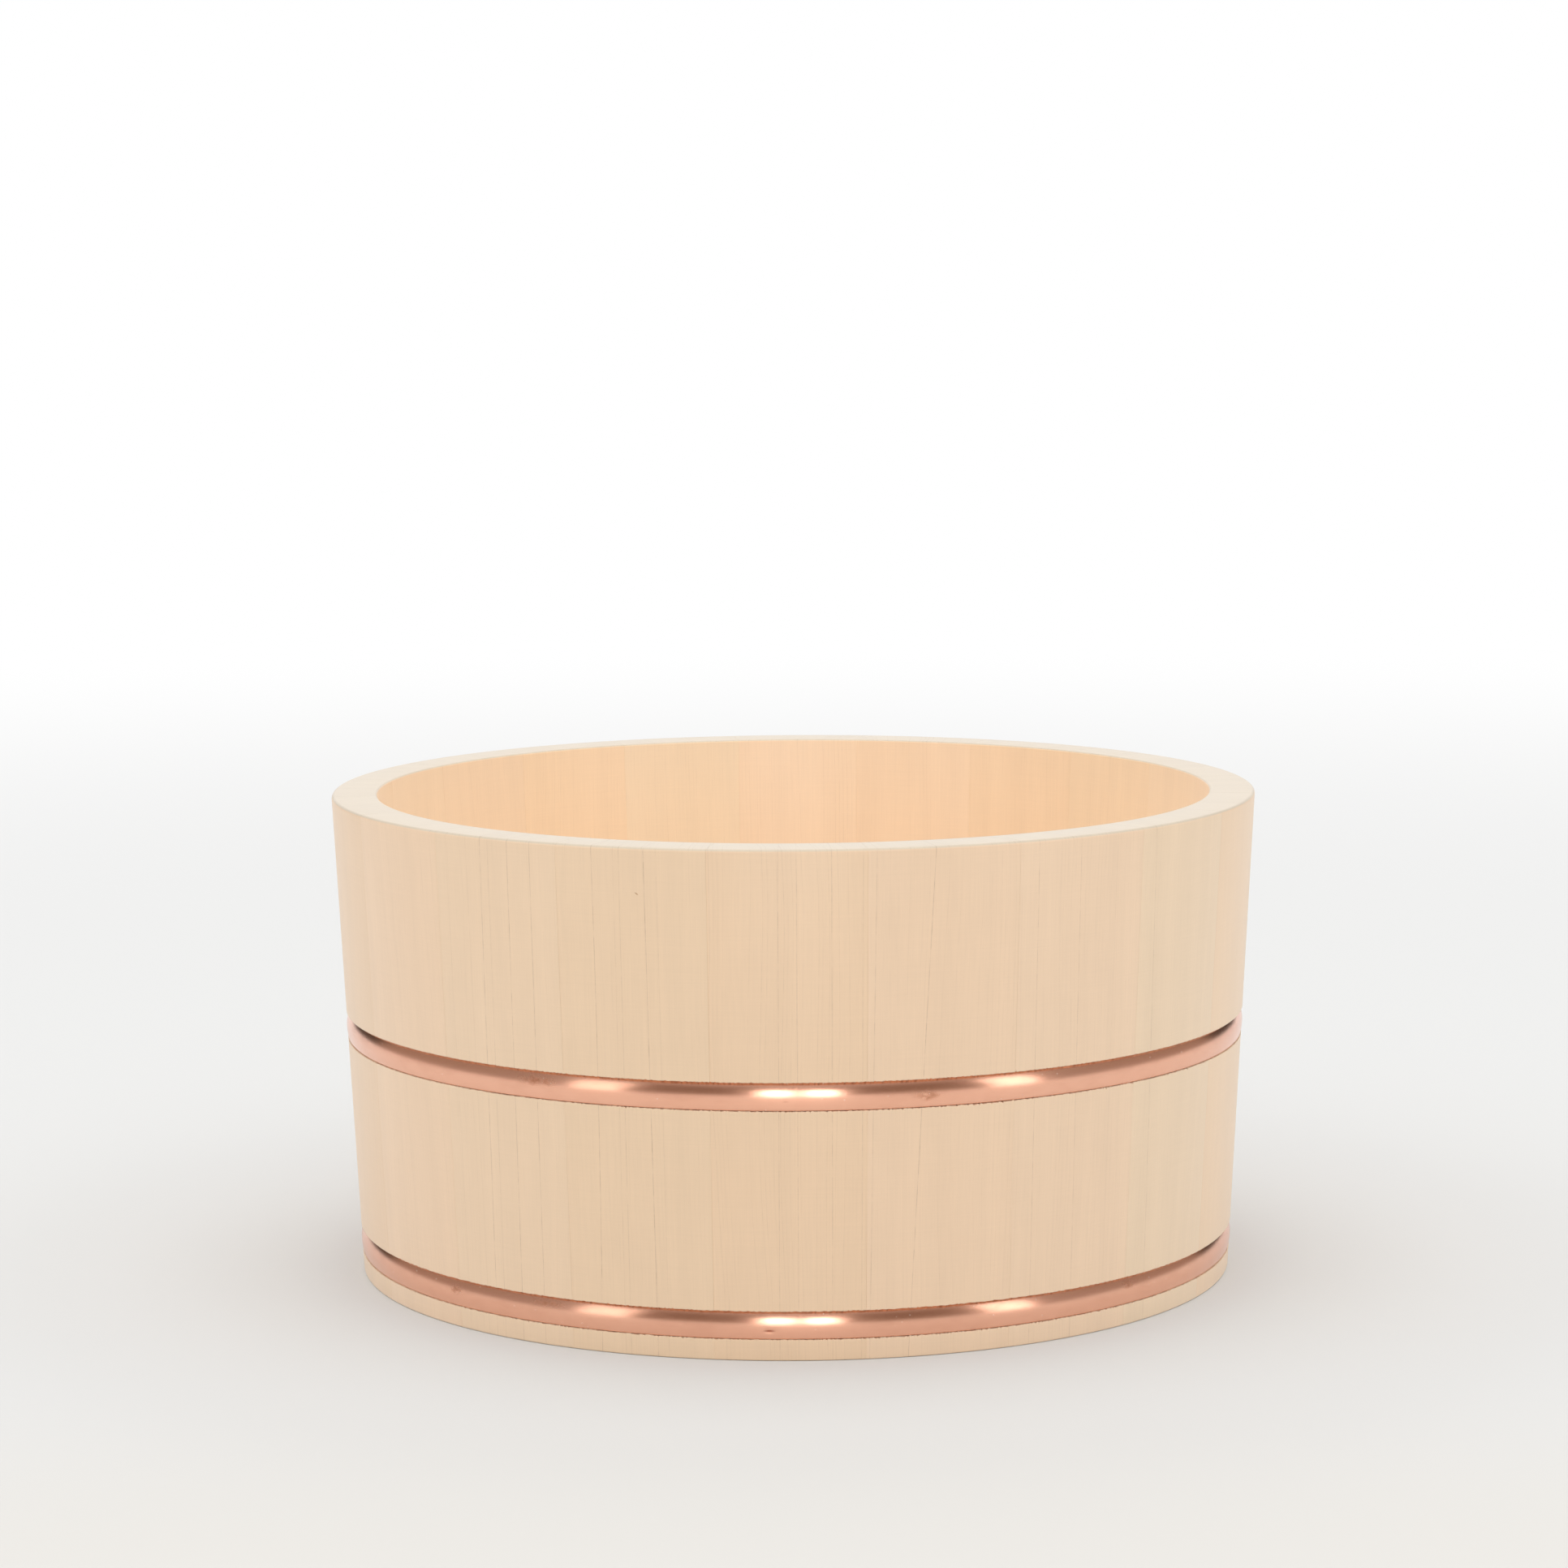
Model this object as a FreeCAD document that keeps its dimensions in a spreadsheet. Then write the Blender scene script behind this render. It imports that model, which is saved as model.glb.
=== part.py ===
"""A coopered wooden bath bucket, in millimetres.

Twenty tapered staves stand in a ring, pinned edge to edge with bamboo, and two copper hoops lie in
grooves turned round the outside. A bottom of three boards, also pinned with bamboo, is driven into a
groove round the inside, a little above the foot. Z is up, and the origin is the centre of the foot.
Each stave is drawn with its middle on the X axis and then turned to its place round Z.
"""

import FreeCAD, Part
import math
import os

import Sketcher

SIZES = {
    # the wall, which is turned to one thickness and leans outwards
    "rim_diameter": 225.0,
    "foot_diameter": 213.0,
    "bucket_height": 117.0,
    "wall_thickness": 11.0,
    "rim_outer_chamfer": 0.7,
    "rim_inner_chamfer": 0.4,
    "foot_chamfer": 0.6,
    # the staves: a run of wider ones at the front, and narrower ones that share the rest of the turn
    "stave_count": 20.0,
    "front_stave_count": 5.0,
    "front_stave_angle": 18.42,
    "front_middle_angle": -90.75,
    # the copper hoops, half-oval wire let into the wall
    "upper_hoop_height": 60.9,
    "lower_hoop_height": 8.2,
    "hoop_width": 6.3,
    "hoop_thickness": 2.4,
    "hoop_proud": 0.15,
    "hoop_dome_radius": 7.5,
    "hoop_side_gap": 0.05,
    # the bottom, whose bevelled edge is driven into a groove round the inside
    "bottom_height": 10.0,
    "bottom_thickness": 10.0,
    "bottom_groove_depth": 3.0,
    "bottom_bevel": 0.8,
    "bottom_gap": 0.05,
    "first_board_joint": 34.0,
    "second_board_joint": 31.0,
    # the bamboo pins, split square and pointed at both ends, in holes made with a four-sided gimlet
    "pin_width": 2.8,
    "pin_length": 14.0,
    "pin_point": 2.0,
    "pin_gap": 0.05,
    "pin_end_gap": 0.5,
    "lower_pin_height": 35.0,
    "upper_pin_height": 90.0,
    "board_pin_offset": 48.0,
}

# Shared relations between the sizes, written once as expressions of the sheet.
LEAN = "atan((Sizes.rim_diameter - Sizes.foot_diameter) / 2 / Sizes.bucket_height)"
BOTTOM_TOP = "(Sizes.bottom_height + Sizes.bottom_thickness)"
BOTTOM_MIDDLE = "(Sizes.bottom_height + Sizes.bottom_thickness / 2)"
PIN_HOLE_HALF = "(Sizes.pin_width / 2 + Sizes.pin_gap)"
PIN_HOLE_DEPTH = "(Sizes.pin_length / 2 + Sizes.pin_end_gap)"
NARROW_ANGLE = (
    "((360 - Sizes.front_stave_count * Sizes.front_stave_angle)"
    " / (Sizes.stave_count - Sizes.front_stave_count))"
)
CUT_OVERRUN = 2.0  # how far a cutting outline stands clear of the wood that it cuts
TINY = 1e-7
NEAR = 1e-3


def outer_radius(height):
    """The expression for the wall's outer radius at a height, itself an expression."""
    return (
        "(Sizes.foot_diameter / 2 + (Sizes.rim_diameter - Sizes.foot_diameter) / 2"
        f" * {height} / Sizes.bucket_height)"
    )


def inner_radius(height):
    """The expression for the wall's inner radius at a height."""
    return f"({outer_radius(height)} - Sizes.wall_thickness)"


def value(expression):
    """The number that an expression of the sheet has now."""
    found = sheet.evalExpression(expression)
    return float(getattr(found, "Value", found))


def make_sheet():
    """The spreadsheet of driving sizes, one alias to a row."""
    made = doc.addObject("Spreadsheet::Sheet", "Sizes")
    for row, (name, size) in enumerate(SIZES.items(), start=1):
        made.set(f"A{row}", name)
        made.set(f"B{row}", str(size))
        made.setAlias(f"B{row}", name)
    return made


def make_body(label):
    """A body for one wooden or copper piece, named as its file is."""
    body = doc.addObject("PartDesign::Body", label)
    body.Label = label
    return body


def plane_of(body, role):
    """One of a body's own origin planes or axes."""
    return next(f for f in body.Origin.OriginFeatures if f.Role == role)


def make_sketch(body, name, role="XZ_Plane"):
    """An empty sketch on one of the body's origin planes."""
    sketch = body.newObject("Sketcher::SketchObject", f"{body.Label}_{name}")
    sketch.AttachmentSupport = (plane_of(body, role), "")
    sketch.MapMode = "FlatFace"
    return sketch


def bind_distance(sketch, kind, geometry, point, expression, name):
    """Ties one coordinate of a sketch point to the sheet, measured from the sketch's origin."""
    size = value(expression)
    if abs(size) < TINY:
        axis = -2 if kind == "DistanceX" else -1
        sketch.addConstraint(Sketcher.Constraint("PointOnObject", geometry, point, axis))
        return
    ends = (-1, 1, geometry, point) if size > 0 else (geometry, point, -1, 1)
    index = sketch.addConstraint(Sketcher.Constraint(kind, *ends, abs(size)))
    sketch.renameConstraint(index, name)
    sketch.setExpression(f"Constraints.{name}", expression if size > 0 else f"-({expression})")


def add_outline(sketch, corners):
    """Draws a closed outline of straight lines, with both coordinates of each corner tied to the sheet."""
    points = [FreeCAD.Vector(value(x), value(y), 0) for x, y in corners]
    first = sketch.GeometryCount
    for here, there in zip(points, points[1:] + points[:1]):
        sketch.addGeometry(Part.LineSegment(here, there), False)
    for i, (x, y) in enumerate(corners):
        following = first + (i + 1) % len(corners)
        sketch.addConstraint(Sketcher.Constraint("Coincident", first + i, 2, following, 1))
        bind_distance(sketch, "DistanceX", first + i, 1, x, f"x{first + i}")
        bind_distance(sketch, "DistanceY", first + i, 1, y, f"y{first + i}")


def add_square(sketch, x, y, half):
    """Draws a square round a centre, tied to the sheet."""
    left, right = f"({x}) - {half}", f"({x}) + {half}"
    low, high = f"({y}) - {half}", f"({y}) + {half}"
    add_outline(sketch, [(left, low), (right, low), (right, high), (left, high)])


def turn(body, kind, name, sketch, angle="360"):
    """Revolves a sketch round Z, evenly to both sides of it, to add or to cut wood or copper."""
    feature = body.newObject(kind, f"{body.Label}_{name}")
    feature.Profile = sketch
    feature.ReferenceAxis = (plane_of(body, "Z_Axis"), [""])
    feature.Midplane = True
    feature.setExpression("Angle", angle)
    sketch.Visibility = False
    return feature


def drill(body, name, sketch, depth, reverse):
    """Cuts a sketch's outlines to a depth, against the sketch's normal or along it."""
    pocket = body.newObject("PartDesign::Pocket", f"{body.Label}_{name}")
    pocket.Profile = sketch
    pocket.Type = "Length"
    pocket.setExpression("Length", depth)
    pocket.Reversed = reverse
    sketch.Visibility = False
    return pocket


def chamfer(body, name, base, radius, height, size):
    """Chamfers the last feature's circular edge of a radius at a height."""
    edges = [
        f"Edge{i}"
        for i, edge in enumerate(base.Shape.Edges, start=1)
        if isinstance(edge.Curve, Part.Circle)
        and abs(edge.Curve.Radius - radius) < NEAR
        and abs(edge.Curve.Center.z - height) < NEAR
    ]
    feature = body.newObject("PartDesign::Chamfer", f"{body.Label}_{name}")
    feature.Base = (base, edges)
    feature.setExpression("Size", size)
    doc.recompute()
    return feature


def lay_on_wall(sketch, height):
    """Moves a sketch so that its origin is on the wall's outer face at a height, and its Y runs up that face."""
    sketch.setExpression("AttachmentOffset.Base.x", outer_radius(height))
    sketch.setExpression("AttachmentOffset.Base.y", height)
    sketch.AttachmentOffset = FreeCAD.Placement(
        FreeCAD.Vector(value(outer_radius(height)), value(height), 0),
        FreeCAD.Rotation(FreeCAD.Vector(0, 0, 1), -value(LEAN)),
    )
    sketch.setExpression("AttachmentOffset.Rotation.Angle", f"-{LEAN}")


def cut_hoop_groove(body, name, height):
    """The square groove that a hoop lies in, cut square to the wall."""
    sketch = make_sketch(body, f"{name}_section")
    lay_on_wall(sketch, height)
    floor = "(Sizes.hoop_proud - Sizes.hoop_thickness)"
    half = "(Sizes.hoop_width / 2 + Sizes.hoop_side_gap)"
    out = f"({CUT_OVERRUN})"
    add_outline(sketch, [(floor, f"-{half}"), (out, f"-{half}"), (out, half), (floor, half)])
    return turn(body, "PartDesign::Groove", name, sketch)


def bottom_edge_outline(start, gap):
    """The section of the bottom's bevelled edge, from a radius outwards, less a gap all round."""
    mouth = f"({inner_radius(BOTTOM_MIDDLE)} - {gap})"
    tip = f"({inner_radius(BOTTOM_MIDDLE)} + Sizes.bottom_groove_depth - {gap})"
    return [
        (start, "Sizes.bottom_height"),
        (mouth, "Sizes.bottom_height"),
        (tip, "Sizes.bottom_height + Sizes.bottom_bevel"),
        (tip, f"{BOTTOM_TOP} - Sizes.bottom_bevel"),
        (mouth, BOTTOM_TOP),
        (start, BOTTOM_TOP),
    ]


def cut_bottom_groove(body):
    """The groove round the inside that the bottom's edge is driven into."""
    sketch = make_sketch(body, "bottom_groove_section")
    inside = f"({inner_radius(BOTTOM_MIDDLE)} - {CUT_OVERRUN})"
    add_outline(sketch, bottom_edge_outline(inside, "0"))
    return turn(body, "PartDesign::Groove", "bottom_groove", sketch)


def bore_stave_pins(body, angle):
    """Holes for the bamboo pins in both of a stave's edges, square to the edge."""
    sketch = make_sketch(body, "pin_hole_centres")
    sketch.AttachmentOffset = FreeCAD.Placement(
        FreeCAD.Vector(), FreeCAD.Rotation(FreeCAD.Vector(0, 1, 0), value(f"{angle} / 2"))
    )
    sketch.setExpression("AttachmentOffset.Rotation.Angle", f"{angle} / 2")
    for height in ("Sizes.lower_pin_height", "Sizes.upper_pin_height"):
        middle = f"({outer_radius(height)} - Sizes.wall_thickness / 2)"
        add_square(sketch, middle, height, PIN_HOLE_HALF)
    holes = drill(body, "pin_holes", sketch, PIN_HOLE_DEPTH, True)
    mirrored = body.newObject("PartDesign::Mirrored", f"{body.Label}_far_pin_holes")
    mirrored.Originals = [holes]
    mirrored.MirrorPlane = (plane_of(body, "XZ_Plane"), [""])
    body.Tip = mirrored
    return mirrored


def make_stave(label, angle, middle):
    """One stave: a leaning sector of the wall with its grooves, pin holes and softened arrises."""
    body = make_body(label)
    section = make_sketch(body, "wall_section")
    foot = "Sizes.foot_diameter / 2"
    rim = "Sizes.rim_diameter / 2"
    add_outline(
        section,
        [
            (foot, "0"),
            (rim, "Sizes.bucket_height"),
            (f"{rim} - Sizes.wall_thickness", "Sizes.bucket_height"),
            (f"{foot} - Sizes.wall_thickness", "0"),
        ],
    )
    turn(body, "PartDesign::Revolution", "blank", section, angle)
    cut_hoop_groove(body, "upper_hoop_groove", "Sizes.upper_hoop_height")
    cut_hoop_groove(body, "lower_hoop_groove", "Sizes.lower_hoop_height")
    cut_bottom_groove(body)
    last = bore_stave_pins(body, angle)
    doc.recompute()

    height = value("Sizes.bucket_height")
    for name, radius, at, size in (
        ("rim_outer_chamfer", rim, height, "Sizes.rim_outer_chamfer"),
        ("rim_inner_chamfer", f"{rim} - Sizes.wall_thickness", height, "Sizes.rim_inner_chamfer"),
        ("foot_chamfer", foot, 0.0, "Sizes.foot_chamfer"),
    ):
        last = chamfer(body, name, last, value(radius), at, size)
    body.setExpression("Placement.Rotation.Angle", middle)
    body.Placement = FreeCAD.Placement(
        FreeCAD.Vector(), FreeCAD.Rotation(FreeCAD.Vector(0, 0, 1), value(middle))
    )
    return body


def stave_angles():
    """The width and the middle of each stave, as expressions, from the first front stave round."""
    front = int(value("Sizes.front_stave_count"))
    first_joint = "(Sizes.front_middle_angle - Sizes.front_stave_count * Sizes.front_stave_angle / 2)"
    last_joint = "(Sizes.front_middle_angle + Sizes.front_stave_count * Sizes.front_stave_angle / 2)"
    found = []
    for i in range(int(value("Sizes.stave_count"))):
        if i < front:
            middle = f"{first_joint} + {i + 0.5} * Sizes.front_stave_angle"
            found.append(("Sizes.front_stave_angle", middle))
        else:
            middle = f"{last_joint} + {i - front + 0.5} * {NARROW_ANGLE}"
            found.append((NARROW_ANGLE, middle))
    return found


def make_group(label, bodies):
    """Staves of one width as one object, in which each stays a solid of its own."""
    group = doc.addObject("Part::Compound", label)
    group.Label = label
    group.Links = bodies
    return group


def make_hoop(label, height):
    """A closed ring of half-oval copper: a flat back, square sides and a low dome outside."""
    body = make_body(label)
    sketch = make_sketch(body, "section")
    lay_on_wall(sketch, height)
    half = value("Sizes.hoop_width") / 2
    dome = value("Sizes.hoop_dome_radius")
    back = value("Sizes.hoop_proud - Sizes.hoop_thickness")
    dome_centre = value("Sizes.hoop_proud") - dome
    slope = math.asin(half / dome)
    edge = dome_centre + dome * math.cos(slope)
    circle = Part.Circle(FreeCAD.Vector(dome_centre, 0, 0), FreeCAD.Vector(0, 0, 1), dome)
    arc = sketch.addGeometry(Part.ArcOfCircle(circle, -slope, slope), False)
    upper_side, back_line, lower_side = [
        sketch.addGeometry(Part.LineSegment(FreeCAD.Vector(*a, 0), FreeCAD.Vector(*b, 0)), False)
        for a, b in (
            ((edge, half), (back, half)),
            ((back, half), (back, -half)),
            ((back, -half), (edge, -half)),
        )
    ]
    for kind, *where in (
        ("Coincident", arc, 2, upper_side, 1),
        ("Coincident", upper_side, 2, back_line, 1),
        ("Coincident", back_line, 2, lower_side, 1),
        ("Coincident", lower_side, 2, arc, 1),
        ("Horizontal", upper_side),
        ("Horizontal", lower_side),
        ("Symmetric", back_line, 1, back_line, 2, -1),
        ("PointOnObject", arc, 3, -1),
    ):
        sketch.addConstraint(Sketcher.Constraint(kind, *where))
    for kind, where, name, expression in (
        ("DistanceY", (back_line, 2, back_line, 1), "width", "Sizes.hoop_width"),
        ("Radius", (arc,), "dome", "Sizes.hoop_dome_radius"),
        ("DistanceX", (arc, 3, -1, 1), "dome_centre", "Sizes.hoop_dome_radius - Sizes.hoop_proud"),
        ("DistanceX", (back_line, 1, -1, 1), "back", "Sizes.hoop_thickness - Sizes.hoop_proud"),
    ):
        index = sketch.addConstraint(Sketcher.Constraint(kind, *where, value(expression)))
        sketch.renameConstraint(index, name)
        sketch.setExpression(f"Constraints.{name}", expression)
    turn(body, "PartDesign::Revolution", "ring", sketch)
    return body


def bore_board_pins(body, name, joint, reverse):
    """Holes for the bamboo pins in a board's straight edge, which lies at Y equal to the joint."""
    sketch = make_sketch(body, f"{name}_centres")
    sketch.AttachmentOffset = FreeCAD.Placement(
        FreeCAD.Vector(0, 0, -value(joint)), FreeCAD.Rotation()
    )
    sketch.setExpression("AttachmentOffset.Base.z", f"-({joint})")
    for x in ("-Sizes.board_pin_offset", "Sizes.board_pin_offset"):
        add_square(sketch, x, BOTTOM_MIDDLE, PIN_HOLE_HALF)
    return drill(body, name, sketch, PIN_HOLE_DEPTH, reverse)


def make_board(label, near_joint, far_joint):
    """One board of the bottom: a slice of the bevelled disc between two joints, either of which may be None."""
    body = make_body(label)
    section = make_sketch(body, "disc_section")
    add_outline(section, bottom_edge_outline("0", "Sizes.bottom_gap"))
    turn(body, "PartDesign::Revolution", "disc", section)
    reach = f"({inner_radius(BOTTOM_MIDDLE)} + Sizes.bottom_groove_depth + {CUT_OVERRUN})"
    for name, joint, edge, reverse in (
        ("near_cut", near_joint, f"-{reach}", False),
        ("far_cut", far_joint, reach, True),
    ):
        if joint is None:
            continue
        outline = make_sketch(body, f"{name}_outline", "XY_Plane")
        add_outline(
            outline,
            [(f"-{reach}", edge), (reach, edge), (reach, joint), (f"-{reach}", joint)],
        )
        drill(body, name, outline, f"{BOTTOM_TOP} + {CUT_OVERRUN}", True)
        bore_board_pins(body, f"{name}_pin_holes", joint, reverse)
    return body


def pin_shape():
    """A square bamboo pin along Z, pointed at both ends, with its middle at the origin."""
    half = value("Sizes.pin_width / 2")
    end = value("Sizes.pin_length / 2")
    shoulder = end - value("Sizes.pin_point")
    section = [(-half, -shoulder), (0, -end), (half, -shoulder), (half, shoulder), (0, end), (-half, shoulder)]
    outline = Part.makePolygon([FreeCAD.Vector(x, -half, z) for x, z in section + section[:1]])
    blank = Part.Face(outline).extrude(FreeCAD.Vector(0, 2 * half, 0))
    across = blank.copy()
    across.rotate(FreeCAD.Vector(), FreeCAD.Vector(0, 0, 1), 90)
    return blank.common(across)


def make_pins(label, places):
    """All the pins of one kind, each a separate solid at its own placement."""
    pins = doc.addObject("Part::Feature", label)
    pins.Label = label
    shapes = []
    for place in places:
        shape = pin_shape()
        shape.Placement = place
        shapes.append(shape)
    pins.Shape = Part.makeCompound(shapes)
    return pins


def stave_pin_places(angles):
    """Where the pins between the staves lie: across each joint, at two heights, in the middle of the wall."""
    along_y = FreeCAD.Rotation(FreeCAD.Vector(0, 0, 1), FreeCAD.Vector(0, 1, 0))
    places = []
    for angle, middle in angles:
        joint = FreeCAD.Rotation(FreeCAD.Vector(0, 0, 1), value(f"{middle} + {angle} / 2"))
        for height in ("Sizes.lower_pin_height", "Sizes.upper_pin_height"):
            radius = value(f"{outer_radius(height)} - Sizes.wall_thickness / 2")
            centre = joint.multVec(FreeCAD.Vector(radius, 0, value(height)))
            places.append(FreeCAD.Placement(centre, joint.multiply(along_y)))
    return places


def board_pin_places():
    """Where the pins between the boards lie: two across each joint, halfway through the thickness."""
    along_y = FreeCAD.Rotation(FreeCAD.Vector(0, 0, 1), FreeCAD.Vector(0, 1, 0))
    offset = value("Sizes.board_pin_offset")
    return [
        FreeCAD.Placement(FreeCAD.Vector(x, value(joint), value(BOTTOM_MIDDLE)), along_y)
        for joint in ("-Sizes.first_board_joint", "Sizes.second_board_joint")
        for x in (-offset, offset)
    ]


def check(parts):
    """Stops the build if anything in the document failed or a piece is not a sound solid."""
    failed = [o.Label for o in doc.Objects if {"Invalid", "Error"} & set(o.State)]
    if failed:
        raise RuntimeError(f"these objects failed to build: {failed}")
    loose = [
        o.Label for o in doc.Objects if o.isDerivedFrom("Sketcher::SketchObject") and not o.FullyConstrained
    ]
    if loose:
        raise RuntimeError(f"these sketches are not fully constrained: {loose}")
    for part in parts:
        shape = part.Shape
        if shape.isNull() or not shape.isValid() or not shape.Solids:
            raise RuntimeError(f"{part.Label} is not a sound solid")


doc = FreeCAD.newDocument("bath_bucket")
sheet = make_sheet()
doc.recompute()

angles = stave_angles()
staves = [
    make_stave(f"stave_{number:02d}", angle, middle)
    for number, (angle, middle) in enumerate(angles, start=1)
]
wide_count = int(value("Sizes.front_stave_count"))
stave_groups = [
    make_group("wide_staves", staves[:wide_count]),
    make_group("narrow_staves", staves[wide_count:]),
]
hoops = [
    make_hoop("upper_hoop", "Sizes.upper_hoop_height"),
    make_hoop("lower_hoop", "Sizes.lower_hoop_height"),
]
boards = [
    make_board("bottom_board_front", None, "-Sizes.first_board_joint"),
    make_board("bottom_board_middle", "-Sizes.first_board_joint", "Sizes.second_board_joint"),
    make_board("bottom_board_back", "Sizes.second_board_joint", None),
]
pins = [
    make_pins("stave_pins", stave_pin_places(angles)),
    make_pins("bottom_pins", board_pin_places()),
]
doc.recompute()

parts = stave_groups + hoops + boards + pins
check(parts)
os.makedirs("parts", exist_ok=True)
for part in parts:
    part.Shape.exportStep(f"parts/{part.Label}.step")
print(f"{len(parts)} parts, {sum(len(p.Shape.Solids) for p in parts)} solids")
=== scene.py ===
"""The looks of a coopered wooden bath bucket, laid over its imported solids.

The staves, the bottom boards and the copper hoops are modelled again with the detail that the solids
leave out: rounded arrises, the torn lips of the turned grooves, and the dents in the copper. The bamboo
pins keep their solids. The units are metres, Z is up, and the viewer stands on the -Y side.
"""

import logging
import math
from collections.abc import Iterable
from dataclasses import dataclass
from enum import Enum

import bmesh
import bpy
from bmesh.types import BMEdge, BMesh, BMVert
from bpy.types import ID, Material, NodeSocket, NodeTree, Object
from mathutils import Matrix, Vector, noise


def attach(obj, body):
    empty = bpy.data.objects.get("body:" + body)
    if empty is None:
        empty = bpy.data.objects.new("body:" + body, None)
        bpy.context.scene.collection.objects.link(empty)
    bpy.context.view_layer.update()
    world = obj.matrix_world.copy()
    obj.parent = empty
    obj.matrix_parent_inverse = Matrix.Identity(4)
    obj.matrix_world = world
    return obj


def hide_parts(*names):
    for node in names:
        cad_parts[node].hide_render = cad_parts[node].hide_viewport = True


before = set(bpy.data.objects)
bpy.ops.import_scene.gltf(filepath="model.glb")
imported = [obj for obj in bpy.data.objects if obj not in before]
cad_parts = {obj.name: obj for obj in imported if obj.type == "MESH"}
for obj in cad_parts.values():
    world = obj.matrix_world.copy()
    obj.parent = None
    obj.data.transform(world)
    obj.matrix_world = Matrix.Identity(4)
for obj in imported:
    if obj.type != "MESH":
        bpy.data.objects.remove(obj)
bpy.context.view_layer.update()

MM = 0.001
# In metres: vertices that lie nearer than this are one.
DOUBLE = 1e-7
# The golden share and the golden angle in radians, which spread numbers evenly from one stave to the next.
GOLDEN_SHARE = 0.618034
GOLDEN_TURN = 2.4
# Where most of a noise's values lie, as the range that a Map Range node takes in.
NOISE_RANGE = {1: 0.25, 2: 0.75}
ROOT = "root"
Pair = tuple[float, float]
Triple = tuple[float, float, float]
log = logging.getLogger("bath_bucket")


# Shared helpers


def srgb(colour: str) -> tuple[float, float, float, float]:
    """Turns an sRGB hex colour to linear.

    Args:
        colour: six hex digits after a hash sign.

    Returns:
        The linear red, green and blue, and an alpha of 1.
    """
    parts = [int(colour[i : i + 2], 16) / 255 for i in (1, 3, 5)]
    red, green, blue = (p / 12.92 if p <= 0.04045 else ((p + 0.055) / 1.055) ** 2.4 for p in parts)
    return (red, green, blue, 1.0)


def add(
    tree: NodeTree,
    kind: str,
    inputs: dict[int | str, object] | None = None,
    out: int | str = 0,
    **settings: object,
) -> NodeSocket | None:
    """Adds one node with its settings, its values and its links.

    Inputs that share a name are given by number. Those of Map Range are 1 and 2 for the range that it takes
    in and 3 and 4 for the range that it gives out, and those of a colour Mix are 0 for the share of the
    second colour and 6 and 7 for the two colours.

    Args:
        tree: the node tree that gets the node.
        kind: the node's type, without the ShaderNode that starts each of them.
        inputs: for each input, by name or number, the value or the socket that feeds it.
        out: the output that is wanted, by name or number.
        settings: the node's own properties.

    Returns:
        The wanted output, ready to be linked on, or None for a node that has no outputs.
    """
    node = tree.nodes.new("ShaderNode" + kind)
    for name, setting in settings.items():
        setattr(node, name, setting)
    for key, given in (inputs or {}).items():
        if isinstance(given, NodeSocket):
            tree.links.new(given, node.inputs[key])
        else:
            node.inputs[key].default_value = given
    return node.outputs[out] if node.outputs else None


def new_material(name: str) -> tuple[Material, NodeTree]:
    """Makes an empty material.

    Args:
        name: the material's name, which says what it is made of and how.

    Returns:
        The material and its cleared node tree.
    """
    material = bpy.data.materials.new(name)
    material.use_nodes = True
    material.node_tree.nodes.clear()
    return material, material.node_tree


def stretched_noise(
    tree: NodeTree,
    place: NodeSocket,
    scale: Triple,
    detail: float,
    roughness: float = 0.5,
    seed: NodeSocket | None = None,
) -> NodeSocket:
    """Adds a noise that is stretched along the axes.

    Args:
        tree: the node tree that gets the nodes.
        place: the place in the pattern.
        scale: the periods to a unit of the place, along each axis.
        detail: the number of finer layers.
        roughness: how strong the finer layers are.
        seed: what tells one board's pattern from another's.

    Returns:
        The noise.
    """
    stretched = add(tree, "VectorMath", {0: place, 1: scale}, operation="MULTIPLY")
    inputs = {"Vector": stretched, "Scale": 1.0, "Detail": detail, "Roughness": roughness}
    if seed is None:
        return add(tree, "TexNoise", inputs)
    return add(tree, "TexNoise", {**inputs, "W": seed}, noise_dimensions="4D")


def link(name: str, data: ID) -> Object:
    """Puts data into the scene as an object at the origin.

    Args:
        name: the object's name.
        data: its mesh, lamp or camera.

    Returns:
        The object.
    """
    made = bpy.data.objects.new(name, data)
    bpy.context.scene.collection.objects.link(made)
    return made


def spin_round(mesh: BMesh, angle: float, steps: int, copies: bool = False) -> None:
    """Spins all of a mesh round the bucket's axis.

    Args:
        mesh: the mesh in the making.
        angle: how far, in radians.
        steps: the number of steps.
        copies: whether each step leaves a copy, and not a swept skin.
    """
    bmesh.ops.spin(
        mesh, geom=mesh.verts[:] + mesh.edges[:] + mesh.faces[:], cent=(0, 0, 0), axis=(0, 0, 1), angle=angle,
        steps=steps, use_merge=False, use_duplicate=copies,
    )


def close_up(mesh: BMesh) -> None:
    """Merges the vertices that a spin leaves double, and turns the faces outwards."""
    bmesh.ops.remove_doubles(mesh, verts=mesh.verts[:], dist=DOUBLE)
    bmesh.ops.recalc_face_normals(mesh, faces=mesh.faces[:])


def ease(mesh: BMesh, edges: Iterable[BMEdge], size: float, segments: int = 1) -> None:
    """Rounds or chamfers edges.

    Args:
        mesh: the mesh in the making.
        edges: its edges that are eased.
        size: how far from the edge it starts, in millimetres.
        segments: 1 for a chamfer, and more for a round.
    """
    bmesh.ops.bevel(
        mesh, geom=list(edges), offset=size * MM, offset_type="OFFSET", affect="EDGES", segments=segments,
        profile=0.5, material=-1, clamp_overlap=True,
    )


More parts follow.
